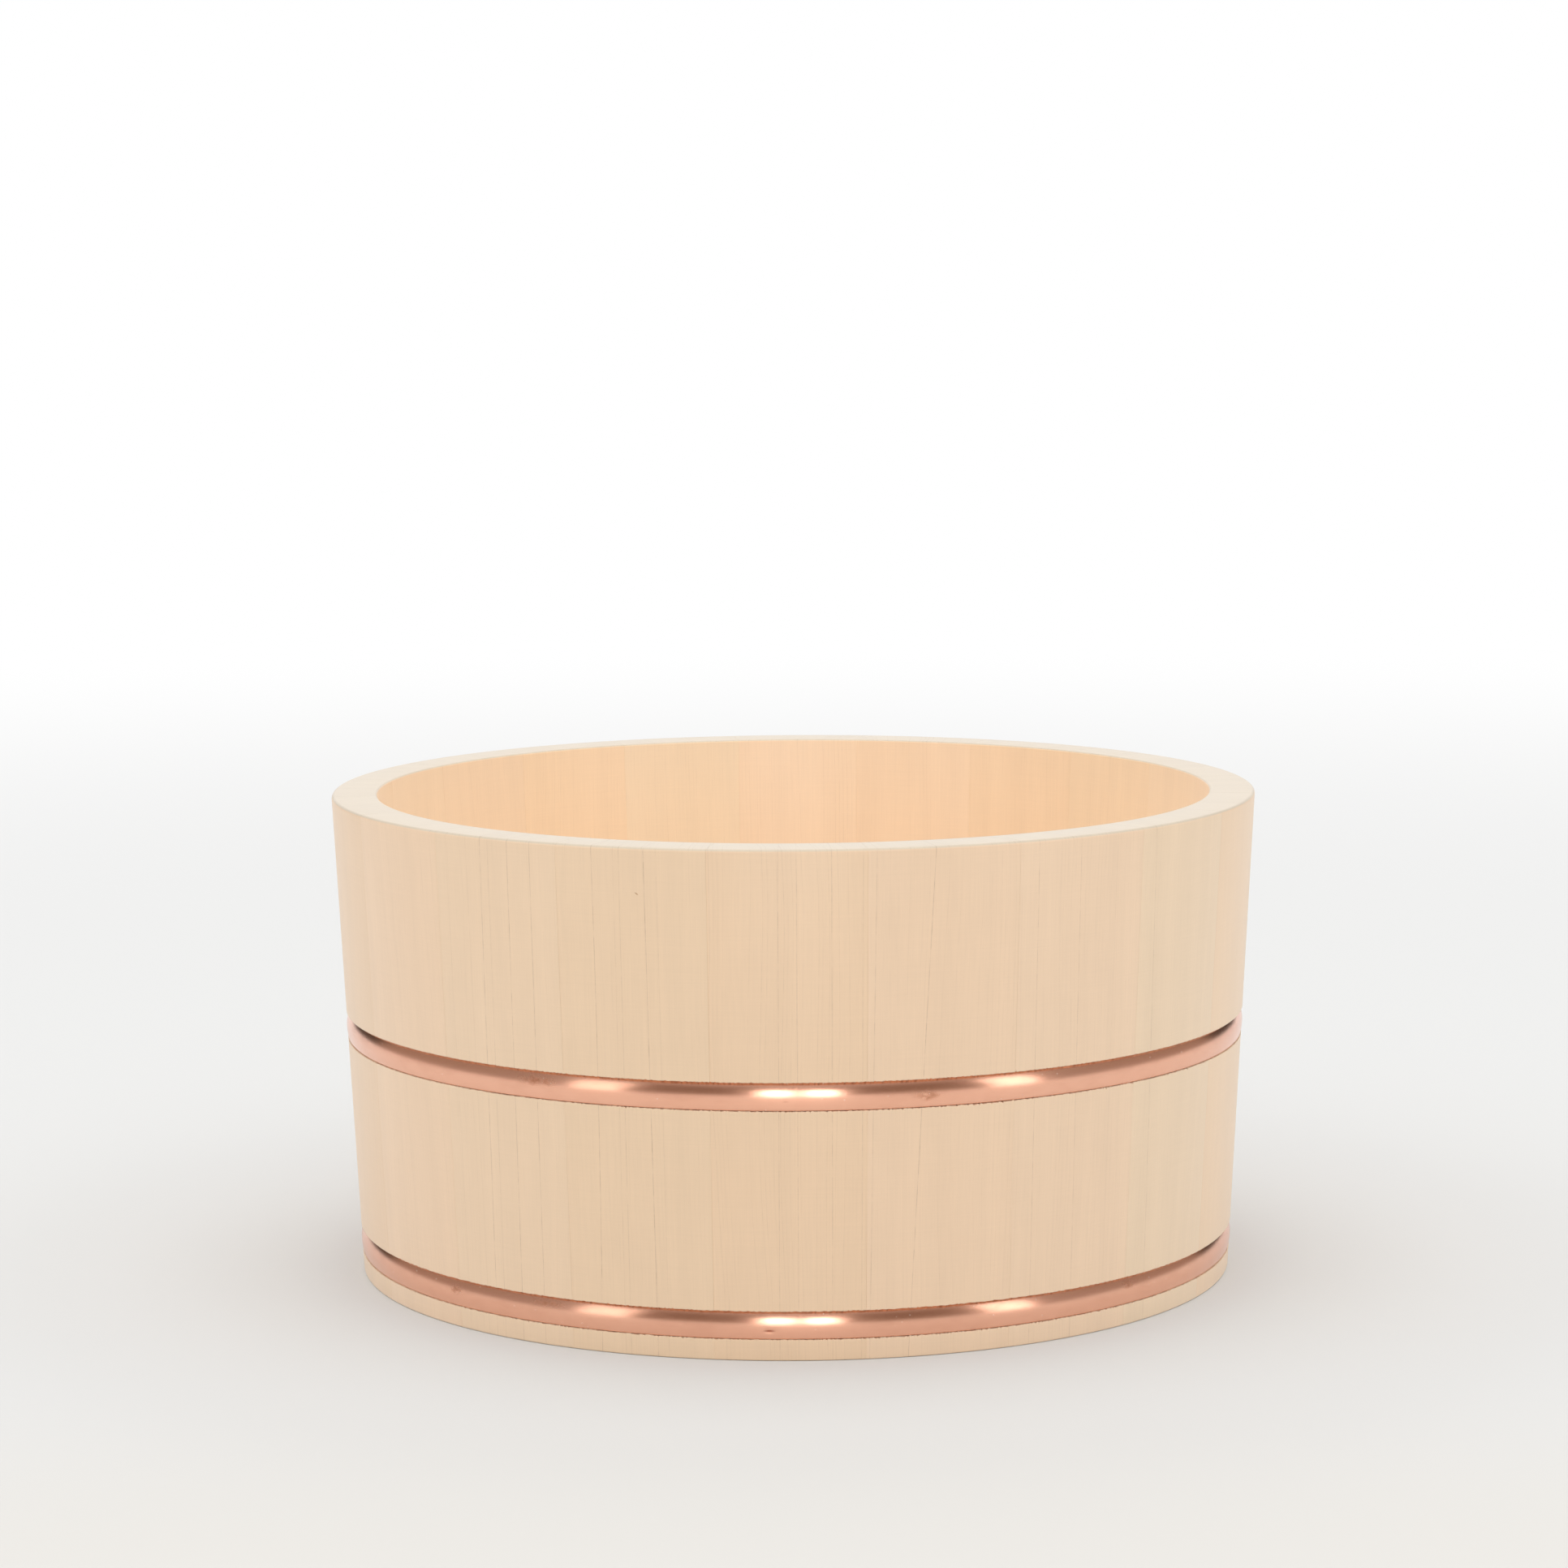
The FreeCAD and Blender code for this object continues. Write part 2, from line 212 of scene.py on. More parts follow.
def shade(mesh: BMesh, crease: float = 35.0) -> None:
    """Shades faces smoothly and keeps the edges sharper than an angle.

    Args:
        mesh: the mesh in the making.
        crease: the angle in degrees past which an edge stays sharp.
    """
    for face in mesh.faces:
        face.smooth = True
    for edge in mesh.edges:
        edge.smooth = len(edge.link_faces) == 2 and edge.calc_face_angle(0.0) < math.radians(crease)


def finish_piece(mesh: BMesh, name: str, material: Material, node: str) -> Object:
    """Turns a finished mesh into a piece of the bucket that stands for a node of the frame.

    Args:
        mesh: the finished mesh, in metres, which is freed.
        name: the piece's name.
        material: what it is made of.
        node: the frame's node that it replaces.

    Returns:
        The piece's object, at the origin.
    """
    data = bpy.data.meshes.new(name)
    mesh.to_mesh(data)
    mesh.free()
    data.materials.append(material)
    piece = link(name, data)
    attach(piece, ROOT)
    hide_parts(node)
    return piece


def face_from(mesh: BMesh, corners: Iterable[Pair]) -> list[BMVert]:
    """Draws a closed outline in the XZ plane and fills it.

    Args:
        mesh: the mesh that gets it.
        corners: the outline's corners, out and up, in millimetres.

    Returns:
        The outline's vertices in order.
    """
    made = [mesh.verts.new((x * MM, 0.0, z * MM)) for x, z in corners]
    sides = [mesh.edges.new(pair) for pair in zip(made, made[1:] + made[:1])]
    bmesh.ops.edgeloop_fill(mesh, edges=sides)
    return made


# Sizes of the wall, which every sub-assembly seats on


@dataclass(frozen=True)
class Wall:
    """The leaning wall that is turned in one piece once the staves stand together, in millimetres."""

    rim_radius: float = 112.5
    foot_radius: float = 106.5
    height: float = 117.0
    thickness: float = 11.0
    bottom_height: float = 10.0
    bottom_thickness: float = 10.0
    croze_depth: float = 3.0
    croze_bevel: float = 0.8
    grain_radius: float = 109.5

    def lean(self) -> float:
        """The wall's lean from upright, in radians."""
        return math.atan((self.rim_radius - self.foot_radius) / self.height)

    def outer(self, height: float) -> float:
        """The outer radius at a height."""
        return self.foot_radius + (self.rim_radius - self.foot_radius) * height / self.height

    def inner(self, height: float) -> float:
        """The inner radius at a height."""
        return self.outer(height) - self.thickness

    def arc(self, degrees: float) -> float:
        """The length of an arc on the face, halfway up, along which the grain is measured."""
        return math.radians(degrees) * self.grain_radius

    def croze_mouth(self) -> float:
        """The radius at which the bevel of the bottom's edge begins."""
        return self.inner(self.bottom_height + self.bottom_thickness / 2)

    def on_face(self, height: float, out: float, up: float) -> Pair:
        """Finds a point by its place on the wall's outer face.

        Args:
            height: the height on the face that the place is measured from.
            out: how far it stands out, square to the face.
            up: how far it lies up the face.

        Returns:
            The point's radius and height.
        """
        sine, cosine = math.sin(self.lean()), math.cos(self.lean())
        return (self.outer(height) + out * cosine + up * sine, height - out * sine + up * cosine)


class HoopPlace(Enum):
    """The two hoops, each by the height of its middle on the wall."""

    UPPER = 60.9
    LOWER = 8.2


@dataclass(frozen=True)
class HoopWire:
    """The half-oval copper wire of a hoop and the groove that it lies in, in millimetres.

    The wire is rolled a little in its groove by the hammer, so that its crown lies below its middle, its
    lower edge is nearly flush with the wall, and its upper flank falls away steeply.
    """

    width: float = 6.3
    thickness: float = 2.4
    proud: float = 0.15
    crown: float = -0.5
    lower_radius: float = 12.0
    upper_radius: float = 6.0
    flank_start: float = 2.6
    flank_radius: float = 1.2
    flank_slope: float = 57.0
    land: float = 0.07
    side_gap: float = 0.03


# Finishes


@dataclass(frozen=True)
class GrowthLine:
    """One strong growth line of the wood, by where it crosses the rim and the foot.

    The angles are in degrees from the front, towards +X, and so is the bow, how far its middle strays.
    The depth is how dark it is, from 0 to 1.
    """

    rim: float
    foot: float
    depth: float
    bow: float = 0.0


@dataclass(frozen=True)
class Mark:
    """A small mark on the wall, by its angle from the front in degrees and its height.

    Its half length and half width are in millimetres, and its turn from level is in degrees. The strength
    is how much of the surface's colour it takes, or a dent's depth in millimetres.
    """

    around: float
    height: float
    long: float
    tall: float
    strength: float
    turn: float = 0.0


RESIN_SPECKS = (Mark(-18.2, 106.5, 0.62, 0.20, 0.8, -35.0),)
SMUDGES = (
    Mark(-32.1, 62.0, 6.5, 1.5, 0.75),
    Mark(15.6, 60.3, 3.4, 1.3, 0.75),
    Mark(-47.6, 8.8, 2.2, 1.3, 0.85),
    Mark(-32.0, 9.8, 5.5, 0.9, 0.65),
    Mark(46.0, 9.6, 2.6, 1.1, 0.75),
)
DENT = Mark(-3.26, 7.0, 1.7, 0.50, 0.16)
# Darker spots; the largest lies over the pressed dent and darkens it.
DARK_SPOTS = (
    Mark(DENT.around, DENT.height, 1.55, 0.36, 0.9),
    Mark(-1.1, 59.9, 0.75, 0.13, 0.6),
    Mark(5.3, 62.1, 0.16, 0.16, 0.7),
)
# Nicks on the upper hoop: real scratches, drawn near white as painted glints.
GLINTING_NICKS = (
    Mark(14.95, 62.7, 0.12, 0.95, 0.9),
    Mark(-8.0, 63.4, 0.28, 0.16, 0.9),
    Mark(-14.8, 63.6, 0.30, 0.14, 0.8),
    Mark(-13.9, 63.7, 0.26, 0.14, 0.7),
    Mark(5.6, 62.2, 0.14, 0.14, 0.6),
)
FRONT_LINES = tuple(GrowthLine(*line) for line in (
    (-44.9, -44.9, 0.25), (-41.5, -41.6, 0.25), (-39.2, -40.2, 0.85), (-38.0, -38.8, 0.45),
    (-35.1, -35.9, 0.85), (-31.9, -32.5, 0.80), (-23.7, -24.4, 0.85, 0.25), (-21.0, -21.2, 0.30),
    (-20.3, -20.5, 0.50), (-17.3, -17.0, 0.85), (-15.8, -15.6, 0.30), (-1.8, -2.0, 0.55),
    (0.3, 0.3, 0.50), (4.3, 4.4, 0.60), (7.9, 7.9, 0.45), (9.5, 8.9, 0.60), (16.4, 13.7, 0.80),
    (29.4, 29.8, 0.60), (35.3, 36.0, 0.60), (47.7, 49.2, 0.60), (40.9, 41.2, 0.20),
))


@dataclass(frozen=True)
class HinokiFinish:
    """Hinoki cypress, sawn on the quarter, turned on a lathe and left bare.

    Quarter-sawn boards show their growth rings as straight, nearly parallel lines along the grain, pale
    tan between thin brown late wood. The lathe leaves faint rings across them, and bare wood stays matt.

    Each pattern's scale is in periods a millimetre across the grain, along it and into the board. Hinoki's
    fibres are about 0.03 mm thick and the lathe's marks about 0.1 mm apart, too fine to show, so they are
    drawn ten and four times as coarse.
    """

    name: str = "hinoki_quarter_sawn_turned"
    wall: Wall = Wall()
    late_wood: str = "#9A765A"
    # Torn fibre at the groove lips, darkened further as painted shade where the wood meets the copper.
    torn_wood_and_shade: str = "#85502F"
    ring_spacing: float = 1.1
    line_half_width: float = 0.14
    line_strength: Pair = (0.03, 0.45)
    line_depth: float = 0.7
    seed_shift: float = 37.0
    roughness: float = 0.40
    lips: tuple[float, ...] = ()
    lip_core: float = 0.06
    lip_reach: float = 0.28
    ripple_scale: Triple = (0.03, 0.012, 0.03)
    fibre_scale: Triple = (3.2, 0.09, 3.2)
    turning_scale: Triple = (0.05, 2.6, 0.0)
    cloud_scale: Triple = (0.10, 0.045, 0.10)
    dash_scale: Triple = (0.9, 0.20, 0.0)
    tear_scale: Triple = (2.2, 1.1, 0.0)
    band_scale: float = 0.16
    wander: float = 1.6
    fibre_swing: float = 0.022
    soft_swing: float = 0.015
    groove_depth: float = 3.0
    front_lines: tuple[GrowthLine, ...] = ()
    resin_brown: str = "#A8794C"
    specks: tuple[Mark, ...] = ()

    def material(self) -> Material:
        """Builds the material.

        It reads three attributes of the piece: grain, the place across the grain, along it and into the
        board in millimetres; board, the board's seed and how far its rings drift along it and into it;
        and wood, the colour of its early wood, with the strength of its rings for an alpha.

        Returns:
            The material.
        """
        material, tree = new_material(self.name)
        grain = add(tree, "Attribute", out="Vector", attribute_name="grain")
        board = add(tree, "Attribute", out="Vector", attribute_name="board")
        wood = add(tree, "Attribute", out="Color", attribute_name="wood")
        across, along, depth = add(tree, "SeparateXYZ", {0: grain}).node.outputs
        seed, slant, skew = add(tree, "SeparateXYZ", {0: board}).node.outputs

        ripple = stretched_noise(tree, grain, self.ripple_scale, 1.0, seed=seed)
        stray = {0: ripple, **NOISE_RANGE, 3: -self.wander, 4: self.wander}
        stray = add(tree, "MapRange", stray, clamp=False)
        place = add(tree, "Math", {0: along, 1: slant, 2: across}, operation="MULTIPLY_ADD")
        place = add(tree, "Math", {0: depth, 1: skew, 2: place}, operation="MULTIPLY_ADD")
        place = add(tree, "Math", {0: place, 1: stray}, operation="ADD")

        lines = self.ring_lines(tree, place, seed)
        lines = add(tree, "Math", {0: lines, 1: wood.node.outputs["Alpha"]}, operation="MULTIPLY")
        marked = self.placed_lines(tree, across, along)
        lines = add(tree, "Math", {0: lines, 1: marked}, operation="ADD", use_clamp=True)
        lines = add(tree, "Math", {0: lines, 1: self.dashes(tree, grain)}, operation="MULTIPLY")

        fibre = stretched_noise(tree, grain, self.fibre_scale, 3.0, 0.6, seed)
        turning = stretched_noise(tree, grain, self.turning_scale, 3.0, 0.7)
        cloud = stretched_noise(tree, grain, self.cloud_scale, 3.0, seed=seed)
        bands = add(tree, "Math", {0: place, 1: self.band_scale}, operation="MULTIPLY")
        bands = add(tree, "TexNoise", {"W": bands, "Scale": 1.0, "Detail": 2.0}, noise_dimensions="1D")

        tone = None
        swings = ((fibre, self.fibre_swing), *((soft, self.soft_swing) for soft in (turning, bands, cloud)))
        for pattern, swing in swings:
            share = add(tree, "MapRange", {0: pattern, **NOISE_RANGE, 3: 1 - swing, 4: 1 + swing})
            tone = share if tone is None else add(tree, "Math", {0: tone, 1: share}, operation="MULTIPLY")
        # The groove lips get torn fibre with painted shade.
        layers = [(lines, self.late_wood), (self.torn_lips_and_shade(tree, grain, along, depth), self.torn_wood_and_shade)]
        if self.specks:
            layers.append((self.resin(tree, grain), self.resin_brown))
        base = wood
        for amount, colour in layers:
            base = add(tree, "Mix", {0: amount, 6: base, 7: srgb(colour)}, out=2, data_type="RGBA")
        base = add(tree, "VectorMath", {0: base, "Scale": tone}, operation="SCALE")

        relief = add(tree, "Math", {0: fibre, 1: 0.35, 2: turning}, operation="MULTIPLY_ADD")
        bump = add(tree, "Bump", {"Height": relief, "Strength": 0.35, "Distance": 0.03 * MM})
        shader = add(tree, "BsdfPrincipled", {
            "Base Color": base, "Roughness": self.roughness, "Normal": bump,
            "Sheen Weight": 0.16, "Sheen Roughness": 0.5,
        })
        add(tree, "OutputMaterial", {"Surface": shader})
        return material

    def ring_lines(self, tree: NodeTree, place: NodeSocket, seed: NodeSocket) -> NodeSocket:
        """The growth lines that run all through a board, each with a strength of its own.

        Args:
            tree: the material's nodes.
            place: the place across the rings, in millimetres.
            seed: the board's seed.

        Returns:
            How much late wood there is, from 0 to 1.
        """
        shift = add(tree, "Math", {0: seed, 1: self.seed_shift}, operation="MULTIPLY")
        where = add(tree, "Math", {0: place, 1: 1 / self.ring_spacing, 2: shift}, operation="MULTIPLY_ADD")
        near = {"W": where, "Scale": 1.0, "Randomness": 0.7}
        near = add(tree, "TexVoronoi", near, out="Distance", voronoi_dimensions="1D")
        chance = add(tree, "SeparateColor", {0: near.node.outputs["Color"]})
        line = {0: near, 1: 0.0, 2: self.line_half_width / self.ring_spacing, 3: 1.0, 4: 0.0}
        line = add(tree, "MapRange", line, interpolation_type="SMOOTHSTEP")
        faintest, strongest = self.line_strength
        chance = add(tree, "MapRange", {0: chance, 1: 0.25, 2: 1.0, 3: faintest, 4: strongest})
        return add(tree, "Math", {0: line, 1: chance}, operation="MULTIPLY")

    def placed_lines(self, tree: NodeTree, across: NodeSocket, along: NodeSocket) -> NodeSocket:
        """The strong lines on the front staves, three to a node.

        Args:
            tree: the material's nodes.
            across: the place across the grain, in millimetres round the wall.
            along: the place along the grain, in millimetres from the foot.

        Returns:
            How much late wood they add, from 0 to 1.
        """
        if not self.front_lines:
            return add(tree, "Value")
        total = None
        rise = add(tree, "Math", {0: along, 1: 1 / self.wall.height}, operation="MULTIPLY")
        bend = add(tree, "Math", {0: 1.0, 1: rise}, operation="SUBTRACT")
        bend = add(tree, "Math", {0: bend, 1: rise}, operation="MULTIPLY")
        rise, bend, across = (
            add(tree, "CombineXYZ", dict.fromkeys(range(3), one)) for one in (rise, bend, across)
        )
        for i in range(0, len(self.front_lines), 3):
            lines = self.front_lines[i : i + 3]
            foot = [self.wall.arc(line.foot) for line in lines]
            lift = [self.wall.arc(line.rim - line.foot) for line in lines]
            bows = [self.wall.arc(4 * line.bow) for line in lines]
            depth = [line.depth * self.line_depth for line in lines]
            spot = add(tree, "VectorMath", {0: rise, 1: lift, 2: foot}, operation="MULTIPLY_ADD")
            spot = add(tree, "VectorMath", {0: bend, 1: bows, 2: spot}, operation="MULTIPLY_ADD")
            away = add(tree, "VectorMath", {0: spot, 1: across}, operation="SUBTRACT")
            away = add(tree, "VectorMath", {0: away}, operation="ABSOLUTE")
            close = add(tree, "MapRange", {
                6: away, 7: (0.0,) * 3, 8: (self.line_half_width,) * 3, 9: (1.0,) * 3, 10: (0.0,) * 3,
            }, out=1, data_type="FLOAT_VECTOR", interpolation_type="SMOOTHSTEP")
            share = add(tree, "VectorMath", {0: close, 1: depth}, out="Value", operation="DOT_PRODUCT")
            total = share if total is None else add(tree, "Math", {0: total, 1: share}, operation="ADD")
        return total

    def dashes(self, tree: NodeTree, grain: NodeSocket) -> NodeSocket:
        """The breaks in the lines, where the lathe has torn or filled the late wood.

        Args:
            tree: the material's nodes.
            grain: the place across the grain, along it and into the board.

        Returns:
            What is left of a line's strength, from 0 to 1.
        """
        broken = stretched_noise(tree, grain, self.dash_scale, 5.0, 0.75)
        return add(tree, "MapRange", {0: broken, 1: 0.38, 2: 0.66, 3: 0.10, 4: 1.0})

    def torn_lips_and_shade(
        self, tree: NodeTree, grain: NodeSocket, along: NodeSocket, depth: NodeSocket
    ) -> NodeSocket:
        """The brown specks along the lips of the hoop grooves, on the outside only: torn fibre, with painted
        shade where the wood meets the copper.

        Args:
            tree: the material's nodes.
            grain: the place across the grain, along it and into the board.
            along: the place along the grain.
            depth: the place into the board.

        Returns:
            How much of the surface is torn fibre and painted shade, from 0 to 1.
        """
        if not self.lips:
            return add(tree, "Value")
        along2 = add(tree, "CombineXYZ", {0: along, 1: along})
        total = None
        for i in range(0, len(self.lips), 2):
            away = add(tree, "VectorMath", {0: along2, 1: (*self.lips[i : i + 2], 0.0)}, operation="SUBTRACT")
            away = add(tree, "VectorMath", {0: away}, operation="ABSOLUTE")
            close = add(tree, "MapRange", {
                6: away, 7: (self.lip_core,) * 3, 8: (self.lip_reach,) * 3, 9: (1.0,) * 3, 10: (0.0,) * 3,
            }, out=1, data_type="FLOAT_VECTOR")
            both = {0: close, 1: (1.0, 1.0, 0.0)}
            share = add(tree, "VectorMath", both, out="Value", operation="DOT_PRODUCT")
            total = share if total is None else add(tree, "Math", {0: total, 1: share}, operation="ADD")
        specks = stretched_noise(tree, grain, self.tear_scale, 2.0, 0.7)
        specks = add(tree, "MapRange", {0: specks, 1: 0.46, 2: 0.66, 3: 0.0, 4: 0.6})
        outside = add(tree, "Math", {0: depth, 1: self.groove_depth}, operation="LESS_THAN")
        specks = add(tree, "Math", {0: specks, 1: outside}, operation="MULTIPLY")
        return add(tree, "Math", {0: total, 1: specks}, operation="MULTIPLY", use_clamp=True)

    def resin(self, tree: NodeTree, grain: NodeSocket) -> NodeSocket:
        """The short dashes of brown resin.

        Args:
            tree: the material's nodes.
            grain: the place across the grain, along it and into the board.

        Returns:
            How much resin there is, from 0 to 1.
        """
        total = None
        for speck in self.specks:
            middle = (self.wall.arc(speck.around), speck.height, 0.0)
            away = add(tree, "VectorMath", {0: grain, 1: middle}, operation="SUBTRACT")
            away = {"Vector": away, "Angle": math.radians(-speck.turn)}
            away = add(tree, "VectorRotate", away, rotation_type="Z_AXIS")
            sizes = (1 / speck.long, 1 / speck.tall, 0.0)
            away = add(tree, "VectorMath", {0: away, 1: sizes}, operation="MULTIPLY")
            away = add(tree, "VectorMath", {0: away}, out="Value", operation="LENGTH")
            close = add(tree, "MapRange", {0: away, 1: 0.3, 2: 1.0, 3: speck.strength, 4: 0.0})
            total = close if total is None else add(tree, "Math", {0: total, 1: close}, operation="ADD")
        return total


@dataclass(frozen=True)
class CopperFinish:
    """Copper wire, drawn half oval and polished by the lathe and by handling.

    Drawing leaves fine lines along the wire, which spread a reflection across it and leave it sharp along
    it. A thin brown film dulls the salmon pink metal in smudges. Nicks and grit specks are drawn near white:
    real scratches, with painted glints on them. The top of the upper flank takes a paler pink, a painted
    reflection of the wood beside it.

    Each pattern's scale is in periods a metre along X, Y and Z. The drawing lines are about 0.02 mm apart,
    too fine to show, so they are drawn 0.25 mm apart.
    """

    name: str = "copper_drawn_half_oval"
    bright: str = "#F7BDA1"
    # The upper flank's paler pink is a painted reflection of the wood beside it.
    flank: str = "#FFCDB4"
    filmed: str = "#C07A58"
    darkening: str = "#9A4B33"
    # Nicks and grit specks take this near white: real scratches, with a painted glint on them.
    scratch_glint_white: str = "#FFF3EA"
    roughness: float = 0.22
    dulling: float = 0.3
    anisotropy: float = 0.75
    line_scale: Triple = (20.0, 20.0, 4000.0)
    film_scale: Triple = (160.0, 160.0, 420.0)
    cloud_scale: Triple = (600.0, 600.0, 1100.0)
    grit_scale: float = 620.0
    wall: Wall = Wall()
    smudges: tuple[Mark, ...] = ()
    dark_spots: tuple[Mark, ...] = ()
    glinting_nicks: tuple[Mark, ...] = ()

    def material(self) -> Material:
        """Builds the material.

        It reads the attribute flank of the piece: -1 at the lower edge of the wire and 1 at the upper.

        Returns:
            The material.
        """
        material, tree = new_material(self.name)
        place = add(tree, "TexCoord", out="Object")
        flank = add(tree, "Attribute", out="Fac", attribute_name="flank")
        lines = stretched_noise(tree, place, self.line_scale, 3.0, 0.7)
        film = stretched_noise(tree, place, self.film_scale, 5.0, 0.65)
        haze = add(tree, "MapRange", {0: film, 1: 0.45, 2: 0.75, 3: 0.0, 4: 0.12})
        cloud = stretched_noise(tree, place, self.cloud_scale, 2.0, 0.6)
        cloud = add(tree, "MapRange", {0: cloud, 1: 0.30, 2: 0.62, 3: 0.0, 4: 1.0})
        smudged = self.marks(tree, place, self.smudges)
        smudged = add(tree, "Math", {0: smudged, 1: cloud}, operation="MULTIPLY")
        haze = add(tree, "Math", {0: haze, 1: smudged}, operation="ADD", use_clamp=True)
        # Darker spots, the largest over the pressed dent.
        darkening = self.marks(tree, place, self.dark_spots)
        # Rare grit specks: real scratches, drawn near white below as painted glints.
        grit_glints = add(tree, "TexVoronoi", {"Vector": place, "Scale": self.grit_scale}, out="Distance")
        rare = add(tree, "SeparateColor", {0: grit_glints.node.outputs["Color"]})
        rare = add(tree, "MapRange", {0: rare, 1: 0.60, 2: 0.62, 3: 0.0, 4: 0.9})
        grit_glints = add(tree, "MapRange", {0: grit_glints, 1: 0.04, 2: 0.08, 3: 1.0, 4: 0.0})
        grit_glints = add(tree, "Math", {0: grit_glints, 1: rare}, operation="MULTIPLY")
        scratches_and_glints = add(tree, "Math", {0: self.marks(tree, place, self.glinting_nicks), 1: grit_glints}, operation="MAXIMUM")
        # Near the upper edge the metal turns a paler pink: a painted reflection of the wood beside it.
        side = {0: flank, 1: 0.80, 2: 0.92, 3: 0.0, 4: 1.0}
        side = add(tree, "MapRange", side, interpolation_type="SMOOTHSTEP")
        base = srgb(self.bright)
        for amount, colour in (
            (side, self.flank), (haze, self.filmed), (darkening, self.darkening), (scratches_and_glints, self.scratch_glint_white),
        ):
            base = add(tree, "Mix", {0: amount, 6: base, 7: srgb(colour)}, out=2, data_type="RGBA")
        rough = add(tree, "Math", {0: haze, 1: scratches_and_glints}, operation="MAXIMUM")
        rough = add(tree, "MapRange", {0: rough, 3: self.roughness, 4: self.roughness + self.dulling})
        bump = add(tree, "Bump", {"Height": lines, "Strength": 0.2, "Distance": 0.01 * MM})
        # The lines run round the axis, and a reflection spreads square to them.
        round_axis = add(tree, "Tangent", direction_type="RADIAL", axis="Z")
        shader = add(tree, "BsdfPrincipled", {
            "Base Color": base, "Metallic": 1.0, "Roughness": rough, "Normal": bump, "Tangent": round_axis,
            "Anisotropic": self.anisotropy, "Anisotropic Rotation": 0.25,
        })
        add(tree, "OutputMaterial", {"Surface": shader})
        return material

    def marks(self, tree: NodeTree, place: NodeSocket, marks: Iterable[Mark]) -> NodeSocket:
        """The smudges, darker spots, and nicks with painted glints that stand at places of their own.

        Args:
            tree: the material's nodes.
            place: the place on the bucket, in metres.
            marks: the marks.

        Returns:
            How strongly the surface is marked.
        """
        total = add(tree, "Value")
        for mark in marks:
            angle = math.radians(mark.around)
            radius = self.wall.outer(mark.height)
            middle = (radius * math.sin(angle) * MM, -radius * math.cos(angle) * MM, mark.height * MM)
            sizes = (1 / (mark.long * MM), 1 / (mark.long * MM), 1 / (mark.tall * MM))
            away = add(tree, "VectorMath", {0: place, 1: middle}, operation="SUBTRACT")
            away = add(tree, "VectorMath", {0: away, 1: sizes}, operation="MULTIPLY")
            away = add(tree, "VectorMath", {0: away}, out="Value", operation="LENGTH")
            close = add(tree, "MapRange", {0: away, 1: 0.2, 2: 1.0, 3: mark.strength, 4: 0.0})
            total = add(tree, "Math", {0: total, 1: close}, operation="ADD")
        return total


@dataclass(frozen=True)
class BambooFinish:
    """Split bamboo, shaved square with a knife and left bare.

    Its fibre bundles, about 0.4 mm apart, show as fine darker dots and lines in a straw yellow, with a
    slight natural shine.
    """

    name: str = "bamboo_split"
    straw: str = "#DCC48A"
    fibre: str = "#B4945A"
    fibre_scale: Triple = (2200.0, 2200.0, 2200.0)

    def material(self) -> Material:
        """Builds the material.

        Returns:
            The material.
        """
        material, tree = new_material(self.name)
        place = add(tree, "TexCoord", out="Object")
        strands = stretched_noise(tree, place, self.fibre_scale, 3.0, 0.6)
        amount = add(tree, "MapRange", {0: strands, 1: 0.45, 2: 0.7, 3: 0.0, 4: 0.8})
        colours = {0: amount, 6: srgb(self.straw), 7: srgb(self.fibre)}
        base = add(tree, "Mix", colours, out=2, data_type="RGBA")
        bump = add(tree, "Bump", {"Height": strands, "Strength": 0.3, "Distance": 0.05 * MM})
        shader = add(tree, "BsdfPrincipled", {"Base Color": base, "Roughness": 0.5, "Normal": bump})
        add(tree, "OutputMaterial", {"Surface": shader})
        return material


# Sub-assemblies


